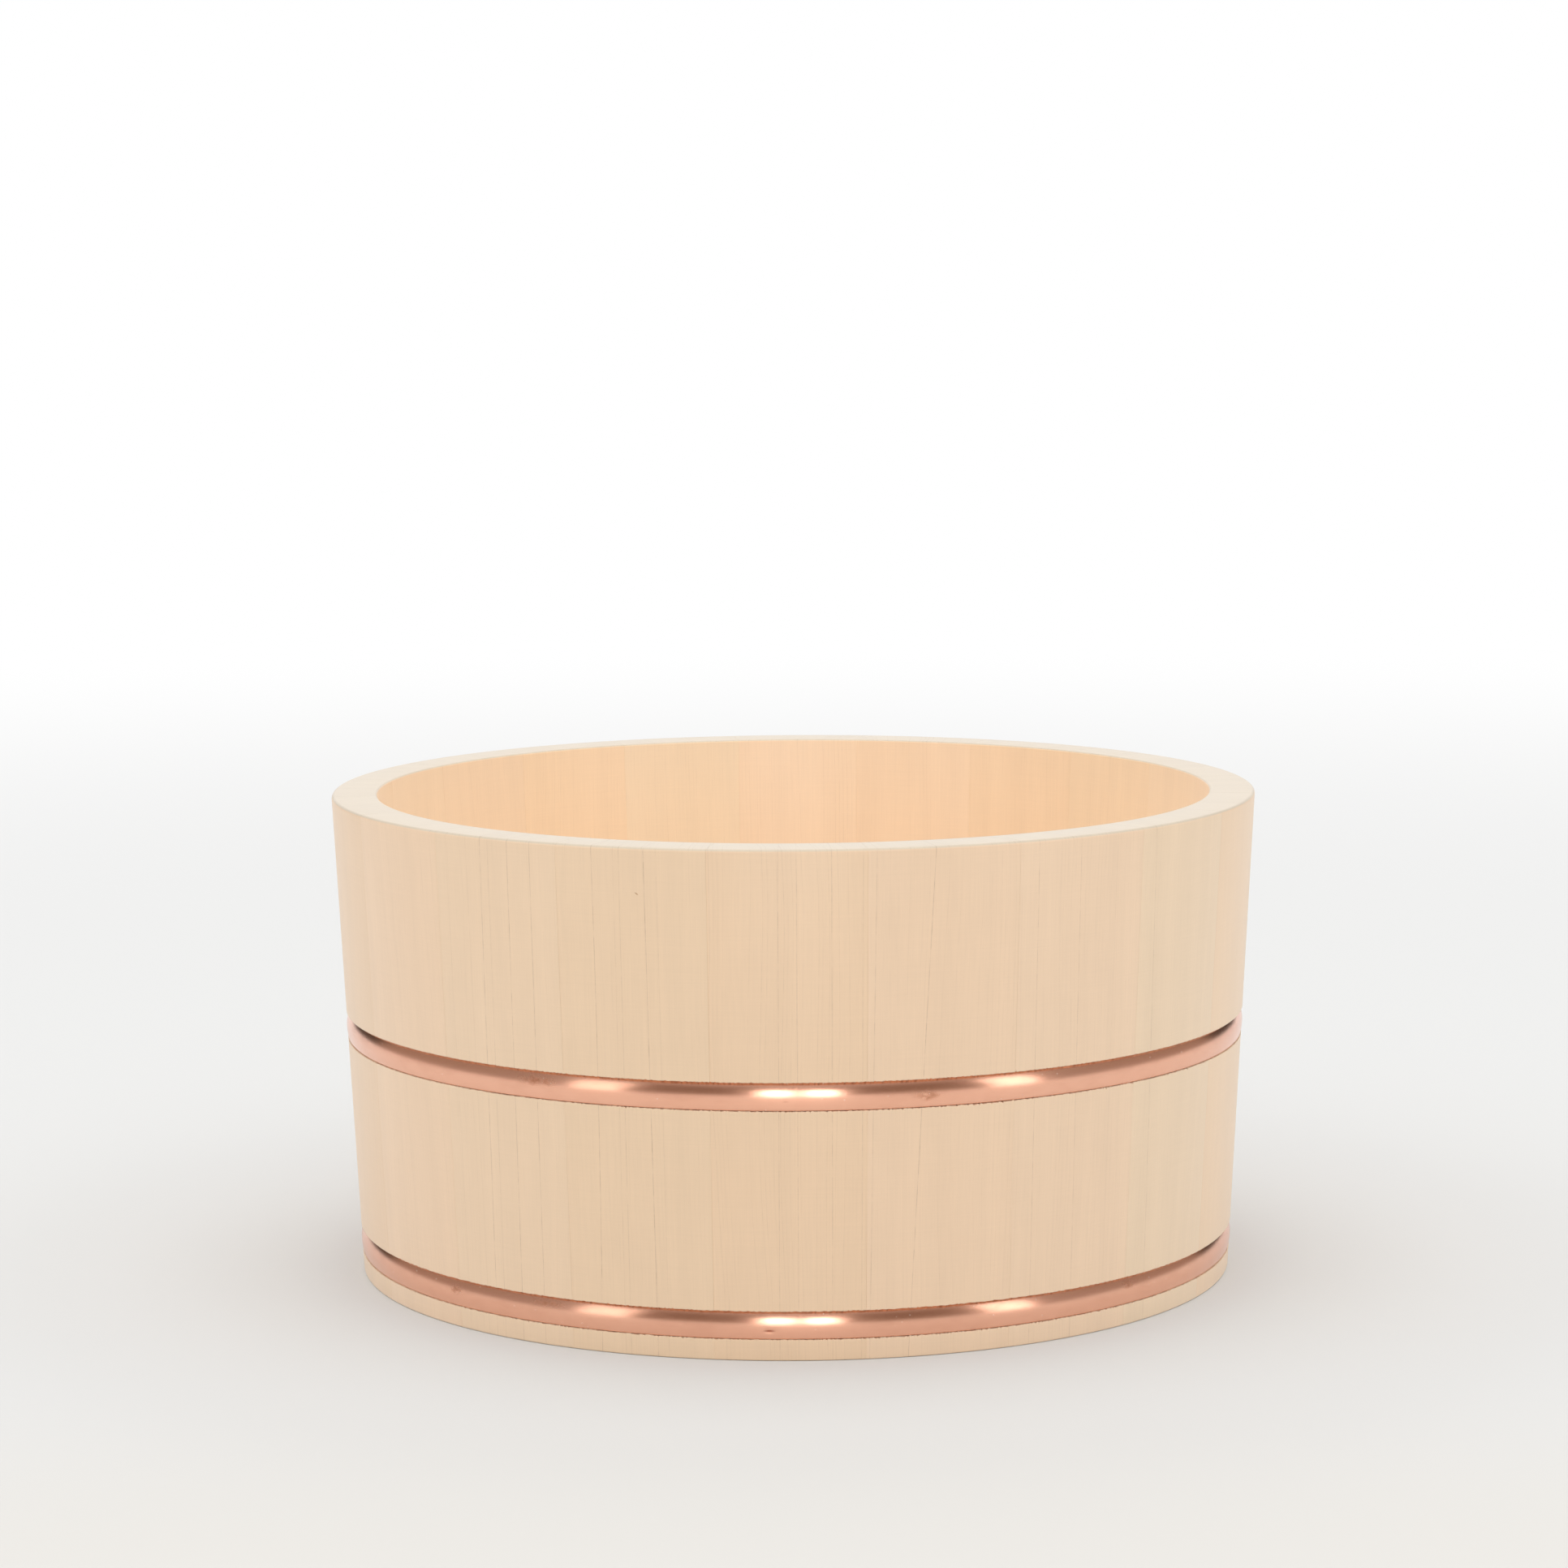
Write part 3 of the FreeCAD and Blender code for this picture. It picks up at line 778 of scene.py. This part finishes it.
@dataclass
class Staves:
    """The ring of twenty staves: five wider ones at the front and fifteen narrower ones behind.

    Angles are in degrees and lengths in millimetres. A tear is how readily a lip tears and how deep, and
    the teeth and swells are how often the torn edge changes, to a degree.
    """

    wall: Wall
    wire: HoopWire
    material: Material
    count: int = 20
    front_count: int = 5
    front_angle: float = 18.42
    front_middle: float = -90.75
    step: float = 0.3
    rim_outer_round: float = 0.9
    rim_inner_round: float = 0.55
    foot_round: float = 0.4
    inner_foot_round: float = 0.3
    lip_round: float = 0.1
    joint_round: float = 0.05
    round_segments: int = 4
    lip_reach: float = 0.3
    lip_depth: float = 0.5
    teeth: float = 4.2
    swells: float = 0.9
    upper_tear: Pair = (0.12, 0.32)
    lower_tear: Pair = (0.32, 0.38)
    deeper_tear: float = 0.20
    worst_tear: float = 0.25
    worst_stretch: Pair = (21.5, 27.0)
    end_skin: Pair = (0.1, 0.3)
    inside_skin: float = 1.0
    face_wood: str = "#E6CBAE"
    # The inside wall's wood is painted lighter than the face: painted light inside the bucket.
    inside_wood_painted_lighter: str = "#EDD3B4"
    end_wood: str = "#CBBCA7"
    tints: tuple[str, ...] = (
        "#FDFCF9", "#FCFAF5", "#FDF9F3", "#FFFCF9", "#FFFDFB", "#FDFFFD", "#FFFCF6", "#FDFBF8",
    )
    ring_strengths: tuple[float, ...] = (0.22, 0.22, 0.50, 0.30, 0.30)
    front_slant: float = 0.004
    widest_slant: float = 0.03
    front_skew: float = 0.17
    skews: tuple[float, ...] = (0.12, -0.20, 0.30, -0.08, 0.22, -0.28, 0.05)

    def section(self) -> tuple[list[Pair], dict[int, float]]:
        """Lists the corners of the wall's section, from the outside of the foot up and round.

        Returns:
            The corners as radius and height, and the size of the round on some of them.
        """
        wall, wire = self.wall, self.wire
        half = wire.width / 2 + wire.side_gap
        floor = wire.proud - wire.thickness
        corners = [(wall.outer(0.0), 0.0)]
        rounds = {0: self.foot_round}
        for place in (HoopPlace.LOWER, HoopPlace.UPPER):
            rounds[len(corners)] = rounds[len(corners) + 3] = self.lip_round
            groove = ((0, -half), (floor, -half), (floor, half), (0, half))
            corners += [wall.on_face(place.value, *spot) for spot in groove]
        rounds[len(corners)], rounds[len(corners) + 1] = self.rim_outer_round, self.rim_inner_round
        corners += [(wall.outer(wall.height), wall.height), (wall.inner(wall.height), wall.height)]
        low, high = wall.bottom_height, wall.bottom_height + wall.bottom_thickness
        mouth, tip = wall.croze_mouth(), wall.croze_mouth() + wall.croze_depth
        fall = wall.croze_bevel / wall.croze_depth
        slope = (wall.rim_radius - wall.foot_radius) / wall.height
        lip = (high + fall * (mouth - wall.inner(0.0))) / (1 + fall * slope)
        corners += [
            (wall.inner(lip), lip),
            (tip, high - wall.croze_bevel),
            (tip, low + wall.croze_bevel),
            (mouth, low),
            (wall.inner(low), low),
        ]
        rounds[len(corners)] = self.inner_foot_round
        corners.append((wall.inner(0.0), 0.0))
        return corners, rounds

    def span(self, index: int) -> Pair:
        """Finds where a stave stands.

        Args:
            index: the stave's number, from 0 at the left of the front, anticlockwise from above.

        Returns:
            The angles of its two edges from +X, in degrees.
        """
        first = self.front_middle - self.front_count * self.front_angle / 2
        if index < self.front_count:
            return first + index * self.front_angle, first + (index + 1) * self.front_angle
        last = first + self.front_count * self.front_angle
        narrow = (360 - self.front_count * self.front_angle) / (self.count - self.front_count)
        index -= self.front_count
        return last + index * narrow, last + (index + 1) * narrow

    def blank(self, angle: float) -> BMesh:
        """Turns the wall's section through a stave's angle, from the XZ plane on.

        Args:
            angle: the stave's angle in degrees.

        Returns:
            The closed blank, with its corners and its two joint edges eased.
        """
        mesh = bmesh.new()
        corners, rounds = self.section()
        made = face_from(mesh, corners)
        for size in sorted(set(rounds.values())):
            segments = 1 if size == self.lip_round else self.round_segments
            bmesh.ops.bevel(
                mesh, geom=[made[i] for i, given in rounds.items() if given == size], offset=size * MM,
                offset_type="OFFSET", affect="VERTICES", segments=segments, profile=0.5, material=-1,
            )
        steps = round(math.radians(angle) * self.wall.rim_radius / self.step)
        spin_round(mesh, math.radians(angle), steps)
        close_up(mesh)
        ends = [face for face in mesh.faces if len(face.verts) > 4]
        ease(mesh, {edge for face in ends for edge in face.edges}, self.joint_round)
        return mesh

    def tear_lips(self, mesh: BMesh) -> None:
        """Breaks the lips of the hoop grooves as a turning tool does, where it lifts the fibres.

        Args:
            mesh: the stave, at its place.
        """
        half = self.wire.width / 2 + self.wire.side_gap
        sine, cosine = math.sin(self.wall.lean()), math.cos(self.wall.lean())
        for vert in mesh.verts:
            radius, z = math.hypot(vert.co.x, vert.co.y) / MM, vert.co.z / MM
            place = min(HoopPlace, key=lambda near: abs(near.value - z))
            away = radius - self.wall.outer(place.value)
            out = away * cosine - (z - place.value) * sine
            up = away * sine + (z - place.value) * cosine
            if out < -self.lip_depth or abs(abs(up) - half) > self.lip_reach:
                continue
            side = math.copysign(1.0, up)
            share, size = self.upper_tear if side > 0 else self.lower_tear
            angle = math.degrees(math.atan2(vert.co.y, vert.co.x)) + 90
            # Each lip reads rows of the noise of its own.
            torn = noise.noise(Vector((angle * self.teeth, side * 7.0, place.value))) + share
            deep = max(0.0, noise.noise(Vector((angle * self.swells, side * 3.0, place.value * 1.7))))
            size += self.deeper_tear * deep
            first, last = self.worst_stretch
            if place is HoopPlace.UPPER and side < 0 and first < angle < last:
                size += self.worst_tear
            vert.co.z += side * max(0.0, torn) * size * MM

    def mark_grain(self, mesh: BMesh, index: int, middle: float) -> None:
        """Gives every vertex its place in the wood.

        Args:
            mesh: the stave's mesh.
            index: the stave's number.
            middle: the angle of its middle, in degrees.
        """
        grain = mesh.verts.layers.float_vector.new("grain")
        board = mesh.verts.layers.float_vector.new("board")
        wood = mesh.verts.layers.float_color.new("wood")
        tint = Vector(srgb(self.tints[index % len(self.tints)]))
        face, inside = Vector(srgb(self.face_wood)) * tint, Vector(srgb(self.inside_wood_painted_lighter)) * tint
        end = Vector(srgb(self.end_wood))
        seed = (index * GOLDEN_SHARE) % 1.0
        at_front = index < self.front_count
        slant = self.widest_slant * math.sin(index * GOLDEN_TURN)
        if at_front:
            slant = self.front_slant * (index - 1)
        skew = self.front_skew if at_front else self.skews[index % len(self.skews)]
        face[3] = inside[3] = self.ring_strengths[index % len(self.ring_strengths)]
        end[3] = 1.0
        foot_skin, rim_skin = self.end_skin
        for vert in mesh.verts:
            angle = math.degrees(math.atan2(vert.co.y, vert.co.x)) - middle
            angle = (angle + 180) % 360 - 180 + middle + 90
            angle = angle - 360 if angle > 180 else angle
            height = vert.co.z / MM
            depth = self.wall.outer(height) - math.hypot(vert.co.x, vert.co.y) / MM
            vert[grain] = (self.wall.arc(angle), height, depth)
            vert[board] = (seed, slant, skew)
            if height > self.wall.height - rim_skin or height < foot_skin:
                vert[wood] = end
            else:
                # The inside wall takes the lighter painted copy of the face wood.
                vert[wood] = inside if depth > self.wall.thickness - self.inside_skin else face

    def build(self) -> list[Object]:
        """Builds every stave.

        Returns:
            The staves' objects.
        """
        made = []
        blanks: dict[str, BMesh] = {}
        for index in range(self.count):
            start, end = self.span(index)
            node = "wide_staves" if index < self.front_count else "narrow_staves"
            if node not in blanks:
                blanks[node] = self.blank(end - start)
            mesh = blanks[node].copy()
            place = Matrix.Rotation(math.radians(start), 3, "Z")
            bmesh.ops.rotate(mesh, verts=mesh.verts[:], cent=(0, 0, 0), matrix=place)
            self.tear_lips(mesh)
            self.mark_grain(mesh, index, (start + end) / 2)
            shade(mesh)
            made.append(finish_piece(mesh, f"stave_{index + 1:02d}", self.material, node))
        for mesh in blanks.values():
            mesh.free()
        return made


@dataclass
class Hoops:
    """The two copper hoops, hammered into their grooves and turned flush."""

    wall: Wall
    wire: HoopWire
    material: Material
    mark: Mark = DENT
    sectors: int = 30
    sector_steps: int = 50
    arc_steps: tuple[int, int, int] = (6, 9, 6)
    crease: float = 50.0

    def build_one(self, place: HoopPlace) -> Object:
        """Builds a hoop from its half-oval section.

        Args:
            place: which of the two it is.

        Returns:
            The hoop's object.
        """
        wire = self.wire
        half = wire.width / 2
        low = math.asin((half - wire.land + wire.crown) / wire.lower_radius)
        high = math.asin((wire.flank_start - wire.crown) / wire.upper_radius)
        end = math.radians(wire.flank_slope)
        mesh = bmesh.new()
        sag = wire.lower_radius * (1 - math.cos(low))
        start = ((wire.proud - sag) * MM, 0.0, (wire.crown - wire.lower_radius * math.sin(low)) * MM)
        last = mesh.verts.new(start)
        arcs = (
            (wire.lower_radius, -low, 0.0),
            (wire.upper_radius, 0.0, high),
            (wire.flank_radius, high, end),
        )
        for (radius, slope, until), steps in zip(arcs, self.arc_steps):
            middle = last.co - Vector((math.cos(slope), 0.0, math.sin(slope))) * radius * MM
            made = bmesh.ops.spin(
                mesh, geom=[last], cent=middle, axis=(0, -1, 0), angle=until - slope, steps=steps,
                use_merge=False, use_duplicate=False,
            )
            last = next(item for item in made["geom_last"] if isinstance(item, BMVert))
        chain = sorted(mesh.verts, key=lambda v: v.co.z)
        lower, upper = chain[0].co.x / MM - wire.land, chain[-1].co.x / MM - wire.land
        back = wire.proud - wire.thickness
        corners = ((upper, half), (back, half), (back, -half), (lower, -half))
        tail = [mesh.verts.new((x * MM, 0.0, z * MM)) for x, z in corners]
        for here, there in zip([chain[-1], *tail], [*tail, chain[0]]):
            mesh.edges.new((here, there))
        for vert in mesh.verts:
            radius, z = self.wall.on_face(place.value, vert.co.x / MM, vert.co.z / MM)
            vert.co = Vector((radius * MM, 0.0, z * MM))
        sector = math.tau / self.sectors
        spin_round(mesh, sector, self.sector_steps)
        spin_round(mesh, math.tau - sector, self.sectors - 1, copies=True)
        close_up(mesh)
        self.dent(mesh, place)
        flank = mesh.verts.layers.float.new("flank")
        for vert in mesh.verts:
            vert[flank] = (vert.co.z / MM - place.value) / half
        shade(mesh, self.crease)
        name = f"{place.name.lower()}_hoop"
        return finish_piece(mesh, f"{name}_ring", self.material, name)

    def dent(self, mesh: BMesh, place: HoopPlace) -> None:
        """Presses a small dent into a hoop.

        Args:
            mesh: the hoop's mesh.
            place: which hoop it is.
        """
        mark = self.mark
        if abs(mark.height - place.value) > self.wire.width / 2:
            return
        middle = math.radians(mark.around - 90)
        radius = self.wall.outer(mark.height)
        for vert in mesh.verts:
            along = math.remainder(math.atan2(vert.co.y, vert.co.x) - middle, math.tau) * radius
            far = math.hypot(along / mark.long, (vert.co.z / MM - mark.height) / mark.tall)
            if far < 1.0:
                depth = mark.strength * (1 - far * far)
                vert.co -= Vector((vert.co.x, vert.co.y, 0.0)).normalized() * depth * MM

    def build(self) -> list[Object]:
        """Builds both hoops."""
        return [self.build_one(place) for place in HoopPlace]


@dataclass
class Bottom:
    """The bottom: three boards, planed and pinned, with a bevelled edge that is driven into the croze.

    Lengths are in millimetres. The skew and slant are how far the growth rings drift into a board and along
    it, and the grain shift reads another part of the wood's patterns than the staves do.
    """

    wall: Wall
    material: Material
    joints: Pair = (-34.0, 31.0)
    gap: float = 0.05
    joint_round: float = 0.25
    segments: int = 720
    wood: str = "#E6CDB2"
    tints: tuple[str, str, str] = ("#FFFBF2", "#FFFFFA", "#FFF9F2")
    ring_strength: float = 0.6
    skew: float = 0.2
    slant: float = 0.01
    grain_shift: float = 400.0
    seeds: Triple = (0.37, 0.66, 0.95)

    def build(self) -> list[Object]:
        """Cuts the bevelled disc into its three boards.

        Returns:
            The boards' objects.
        """
        near, far = self.joints
        made = []
        for index, (name, low, high) in enumerate(
            (("front", None, near), ("middle", near, far), ("back", far, None))
        ):
            mesh = self.disc()
            for joint, outwards in ((low, -1), (high, 1)):
                if joint is None:
                    continue
                bmesh.ops.bisect_plane(
                    mesh, geom=mesh.verts[:] + mesh.edges[:] + mesh.faces[:], dist=1e-8,
                    plane_co=(0, joint * MM, 0), plane_no=(0, outwards, 0), clear_outer=True,
                    clear_inner=False,
                )
                rim = [edge for edge in mesh.edges if edge.is_boundary]
                face = bmesh.ops.edgeloop_fill(mesh, edges=rim)["faces"][0]
                ease(mesh, face.edges, self.joint_round, segments=2)
            bmesh.ops.recalc_face_normals(mesh, faces=mesh.faces[:])
            self.mark_grain(mesh, index)
            shade(mesh)
            node = f"bottom_board_{name}"
            made.append(finish_piece(mesh, f"board_{name}", self.material, node))
        return made

    def disc(self) -> BMesh:
        """Makes the whole bottom before it is cut.

        Returns:
            The disc, bevelled above and below.
        """
        wall = self.wall
        mesh = bmesh.new()
        tip = wall.croze_mouth() + wall.croze_depth - self.gap
        made = bmesh.ops.create_circle(
            mesh, cap_ends=True, cap_tris=False, segments=self.segments, radius=tip * MM,
            matrix=Matrix.Translation((0, 0, (wall.bottom_height + wall.croze_bevel) * MM)),
        )
        rise = (wall.bottom_thickness - 2 * wall.croze_bevel) * MM
        lifted = bmesh.ops.extrude_face_region(mesh, geom=mesh.faces[:])
        top = [item for item in lifted["geom"] if isinstance(item, BMVert)]
        bmesh.ops.translate(mesh, vec=(0, 0, rise), verts=top)
        bmesh.ops.recalc_face_normals(mesh, faces=mesh.faces[:])
        flats = [face for face in mesh.faces if len(face.verts) > 4]
        bmesh.ops.inset_individual(
            mesh, faces=flats, thickness=wall.croze_depth * MM, depth=wall.croze_bevel * MM,
            use_even_offset=True,
        )
        return mesh

    def mark_grain(self, mesh: BMesh, index: int) -> None:
        """Gives every vertex its place in the wood, whose grain runs along X.

        Args:
            mesh: the board's mesh.
            index: the board's number.
        """
        grain = mesh.verts.layers.float_vector.new("grain")
        board = mesh.verts.layers.float_vector.new("board")
        wood = mesh.verts.layers.float_color.new("wood")
        colour = Vector(srgb(self.wood)) * Vector(srgb(self.tints[index]))
        colour[3] = self.ring_strength
        for vert in mesh.verts:
            vert[grain] = (vert.co.y / MM + self.grain_shift, vert.co.x / MM, vert.co.z / MM)
            vert[board] = (self.seeds[index], self.slant * (index - 1), self.skew)
            vert[wood] = colour


@dataclass
class Pins:
    """The bamboo pins, which keep the solids of the frame."""

    material: Material
    nodes: tuple[str, ...] = ("stave_pins", "bottom_pins")

    def dress(self) -> list[Object]:
        """Gives the pins their finish.

        Returns:
            The pins' objects.
        """
        found = [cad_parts[name] for name in self.nodes]
        for piece in found:
            for slot in piece.material_slots:
                slot.material = self.material
        return found


# The setting


@dataclass
class Floor:
    """A pale floor, a little greyer in front, that fades to white in the distance, in metres."""

    radius: float = 6.0
    segments: int = 96
    depth: float = 0.00002
    paper: str = "#D2D2D1"
    near_paper: str = "#D1CFCB"
    near: Pair = (-0.12, -0.26)
    fade: Pair = (0.30, 1.60)

    def build(self) -> Object:
        """Builds the floor.

        Returns:
            The floor's object.
        """
        mesh = bmesh.new()
        bmesh.ops.create_circle(
            mesh, cap_ends=True, cap_tris=False, segments=self.segments, radius=self.radius,
            matrix=Matrix.Translation((0, 0, -self.depth)),
        )
        data = bpy.data.meshes.new("floor")
        mesh.to_mesh(data)
        mesh.free()
        floor = link("floor", data)
        # Matt paper scatters light evenly, so that it keeps a soft shadow and shows no reflection.
        material, tree = new_material("paper_white_matt")
        place = add(tree, "TexCoord", out="Object")
        away = add(tree, "VectorMath", {0: place}, out="Value", operation="LENGTH")
        fade = {0: away, 1: self.fade[0], 2: self.fade[1]}
        fade = add(tree, "MapRange", fade, interpolation_type="SMOOTHSTEP")
        # Only what the camera and mirrors see turns white, so that the bucket is lit by plain paper.
        path = add(tree, "LightPath").node.outputs
        seen = add(tree, "Math", {0: path["Is Camera Ray"], 1: path["Is Glossy Ray"]}, operation="ADD")
        seen = add(tree, "Math", {0: seen, 1: path["Is Transmission Ray"]}, operation="ADD", use_clamp=True)
        fade = add(tree, "Math", {0: fade, 1: seen}, operation="MULTIPLY")
        near = add(tree, "SeparateXYZ", {0: place}, out="Y")
        near = {0: near, 1: self.near[0], 2: self.near[1]}
        near = add(tree, "MapRange", near, interpolation_type="SMOOTHSTEP")
        colour = {0: near, 6: srgb(self.paper), 7: srgb(self.near_paper)}
        colour = add(tree, "Mix", colour, out=2, data_type="RGBA")
        paper = add(tree, "BsdfDiffuse", {"Color": colour})
        white = add(tree, "Emission", {"Color": (1, 1, 1, 1), "Strength": 1.0})
        mixed = add(tree, "MixShader", {0: fade, 1: paper, 2: white})
        add(tree, "OutputMaterial", {"Surface": mixed})
        data.materials.append(material)
        return floor


@dataclass(frozen=True)
class SoftBox:
    """A rectangular lamp that faces the bucket, by its direction and its apparent size in degrees."""

    name: str
    azimuth: float
    elevation: float
    wide: float
    high: float
    radiance: float
    distance: float
    # Strips that only shiny surfaces mirror light nothing matt.
    lights_matt: bool = True

    def build(self, aim: Vector) -> Object:
        """Hangs the lamp.

        Args:
            aim: the point that it faces.

        Returns:
            The lamp's object.
        """
        lamp = bpy.data.lights.new(self.name, "AREA")
        lamp.shape = "RECTANGLE"
        lamp.size = 2 * self.distance * math.tan(math.radians(self.wide) / 2)
        lamp.size_y = 2 * self.distance * math.tan(math.radians(self.high) / 2)
        lamp.energy = self.radiance * math.pi * lamp.size * lamp.size_y
        made = link(self.name, lamp)
        azimuth, elevation = math.radians(self.azimuth - 90), math.radians(self.elevation)
        level = math.cos(elevation)
        away = Vector((level * math.cos(azimuth), level * math.sin(azimuth), math.sin(elevation)))
        made.location = aim + away * self.distance
        made.rotation_euler = away.to_track_quat("Z", "Y").to_euler()
        made.visible_camera = False
        made.visible_diffuse = self.lights_matt
        return made


@dataclass
class Studio:
    """Plain soft light: a pale ceiling all round, one softbox overhead, and strips that the copper mirrors.

    The light on matt surfaces is given by elevation, as pairs of degrees and level. What shiny surfaces
    mirror is the studio itself: dim in front and at the sides, dark at the ends of a white backdrop behind
    the bucket. It is given by the angle from the front, as degrees, level and how warm the grey is.

    A ramp's colours end at 1, so it holds each level divided by the headroom.
    """

    aim: Triple = (0.0, 0.0, 0.06)
    light: tuple[Pair, ...] = (
        (0.0, 0.48), (14.0, 0.54), (17.0, 1.79), (50.0, 1.79), (58.0, 0.1),
    )
    mirrored: tuple[Triple, ...] = (
        (180.0, 1.0, 0.0), (156.0, 1.0, 0.0), (151.0, 0.04, 0.6), (134.0, 0.05, 0.8), (127.0, 0.34, 0.5),
        (60.0, 0.37, 0.3), (35.0, 0.20, 0.8), (0.0, 0.20, 0.8),
    )
    ceiling: tuple[Pair, ...] = ((0.0, 0.0), (36.0, 0.0), (43.0, 1.0))
    ceiling_level: float = 0.62
    warm_loss: Triple = (0.0, 0.4, 0.65)
    headroom: float = 2.0
    boxes: tuple[SoftBox, ...] = (
        SoftBox("overhead", 0.0, 88.0, 44.0, 44.0, 1.75, 1.5),
        SoftBox("front_strip", -4.6, 8.0, 7.0, 26.0, 6.0, 2.2, False),
        SoftBox("front_edge", 6.4, 8.0, 7.0, 26.0, 6.0, 2.2, False),
        SoftBox("left_side", -49.0, 14.0, 14.0, 34.0, 1.5, 2.2, False),
        SoftBox("right_side", 55.0, 14.0, 13.0, 34.0, 1.9, 2.2, False),
    )

    def build(self) -> list[Object]:
        """Lights the scene.

        Returns:
            The lamps' objects.
        """
        world = bpy.data.worlds.new("pale_studio")
        world.use_nodes = True
        tree = world.node_tree
        tree.nodes.clear()
        direction = add(tree, "TexCoord", out="Generated")
        height = add(tree, "SeparateXYZ", {0: direction}, out="Z")
        flat = add(tree, "VectorMath", {0: direction, 1: (1.0, 1.0, 0.0)}, operation="MULTIPLY")
        flat = add(tree, "VectorMath", {0: flat}, operation="NORMALIZE")
        turn = add(tree, "SeparateXYZ", {0: flat}, out="Y")
        turn = add(tree, "MapRange", {0: turn, 1: 1.0, 2: -1.0})
        sines, arch = (
            [(math.sin(math.radians(angle)), level, 0.0) for angle, level in levels]
            for levels in (self.light, self.ceiling)
        )
        turns = [
            ((1 + math.cos(math.radians(angle))) / 2, level, warm) for angle, level, warm in self.mirrored
        ]
        greys = []
        for factor, stops in ((height, sines), (turn, turns), (height, arch)):
            ramp = add(tree, "ValToRGB", {0: factor})
            elements = ramp.node.color_ramp.elements
            for index, (position, level, warm) in enumerate(stops):
                stop = elements[index] if index < len(elements) else elements.new(1.0)
                stop.position = position
                level /= self.headroom
                stop.color = (*(level * (1 - loss * warm) for loss in self.warm_loss), 1.0)
            greys.append(ramp)
        light, walls, above = greys
        above = add(tree, "Math", {0: above, 1: self.headroom}, operation="MULTIPLY", use_clamp=True)
        level = self.ceiling_level / self.headroom
        room = add(tree, "Mix", {0: above, 6: walls, 7: (level, level, level, 1.0)}, out=2, data_type="RGBA")
        path = add(tree, "LightPath").node.outputs
        grey = add(tree, "Mix", {0: path["Is Glossy Ray"], 6: light, 7: room}, out=2, data_type="RGBA")
        studio = add(tree, "Background", {"Color": grey, "Strength": self.headroom})
        white = add(tree, "Background", {"Color": (1, 1, 1, 1), "Strength": 1.0})
        mixed = add(tree, "MixShader", {0: path["Is Camera Ray"], 1: studio, 2: white})
        add(tree, "OutputWorld", {"Surface": mixed})
        bpy.context.scene.world = world
        return [box.build(Vector(self.aim)) for box in self.boxes]


@dataclass
class Viewpoint:
    """The camera, at the place that the rim and the foot of the bucket give it."""

    place: Triple = (0.0, -1.1229, 0.25736)
    pitch: float = 7.092
    yaw: float = -0.113
    roll: float = -0.364
    lens: float = 106.13

    def build(self) -> Object:
        """Sets up the camera.

        Returns:
            The camera's object.
        """
        pitch, yaw, roll = (math.radians(value) for value in (self.pitch, self.yaw, self.roll))
        ahead = Vector((math.sin(yaw) * math.cos(pitch), math.cos(yaw) * math.cos(pitch), -math.sin(pitch)))
        level = Vector((math.cos(yaw), -math.sin(yaw), 0.0))
        right = level * math.cos(roll) + level.cross(ahead) * math.sin(roll)
        turned = Matrix((right, right.cross(ahead), -ahead)).transposed()
        data = bpy.data.cameras.new("viewpoint")
        data.lens = self.lens
        data.sensor_width = 36.0
        data.clip_start, data.clip_end = 0.05, 50.0
        camera = link("viewpoint", data)
        camera.matrix_world = Matrix.Translation(self.place) @ turned.to_4x4()
        bpy.context.scene.camera = camera
        return camera


def main() -> None:
    """Builds the bucket, its setting and its light."""
    logging.basicConfig(level=logging.INFO, format="%(name)s: %(message)s")
    bpy.context.scene.view_settings.view_transform = "Standard"
    wall, wire = Wall(), HoopWire()
    lips = tuple(
        wall.on_face(place.value, 0.0, side * (wire.width / 2 + wire.side_gap))[1]
        for place in HoopPlace for side in (-1, 1)
    )
    turned = HinokiFinish(front_lines=FRONT_LINES, lips=lips, specks=RESIN_SPECKS).material()
    planed = HinokiFinish(name="hinoki_quarter_sawn_planed").material()
    copper = CopperFinish(smudges=SMUDGES, dark_spots=DARK_SPOTS, glinting_nicks=GLINTING_NICKS).material()
    bamboo = BambooFinish().material()
    pieces = Staves(wall, wire, turned).build()
    pieces += Hoops(wall, wire, copper).build()
    pieces += Bottom(wall, planed).build()
    pieces += Pins(bamboo).dress()
    for piece in pieces:
        log.info("%s: %d faces", piece.name, len(piece.data.polygons))
    Floor().build()
    Studio().build()
    Viewpoint().build()


if __name__ == "__main__":
    main()
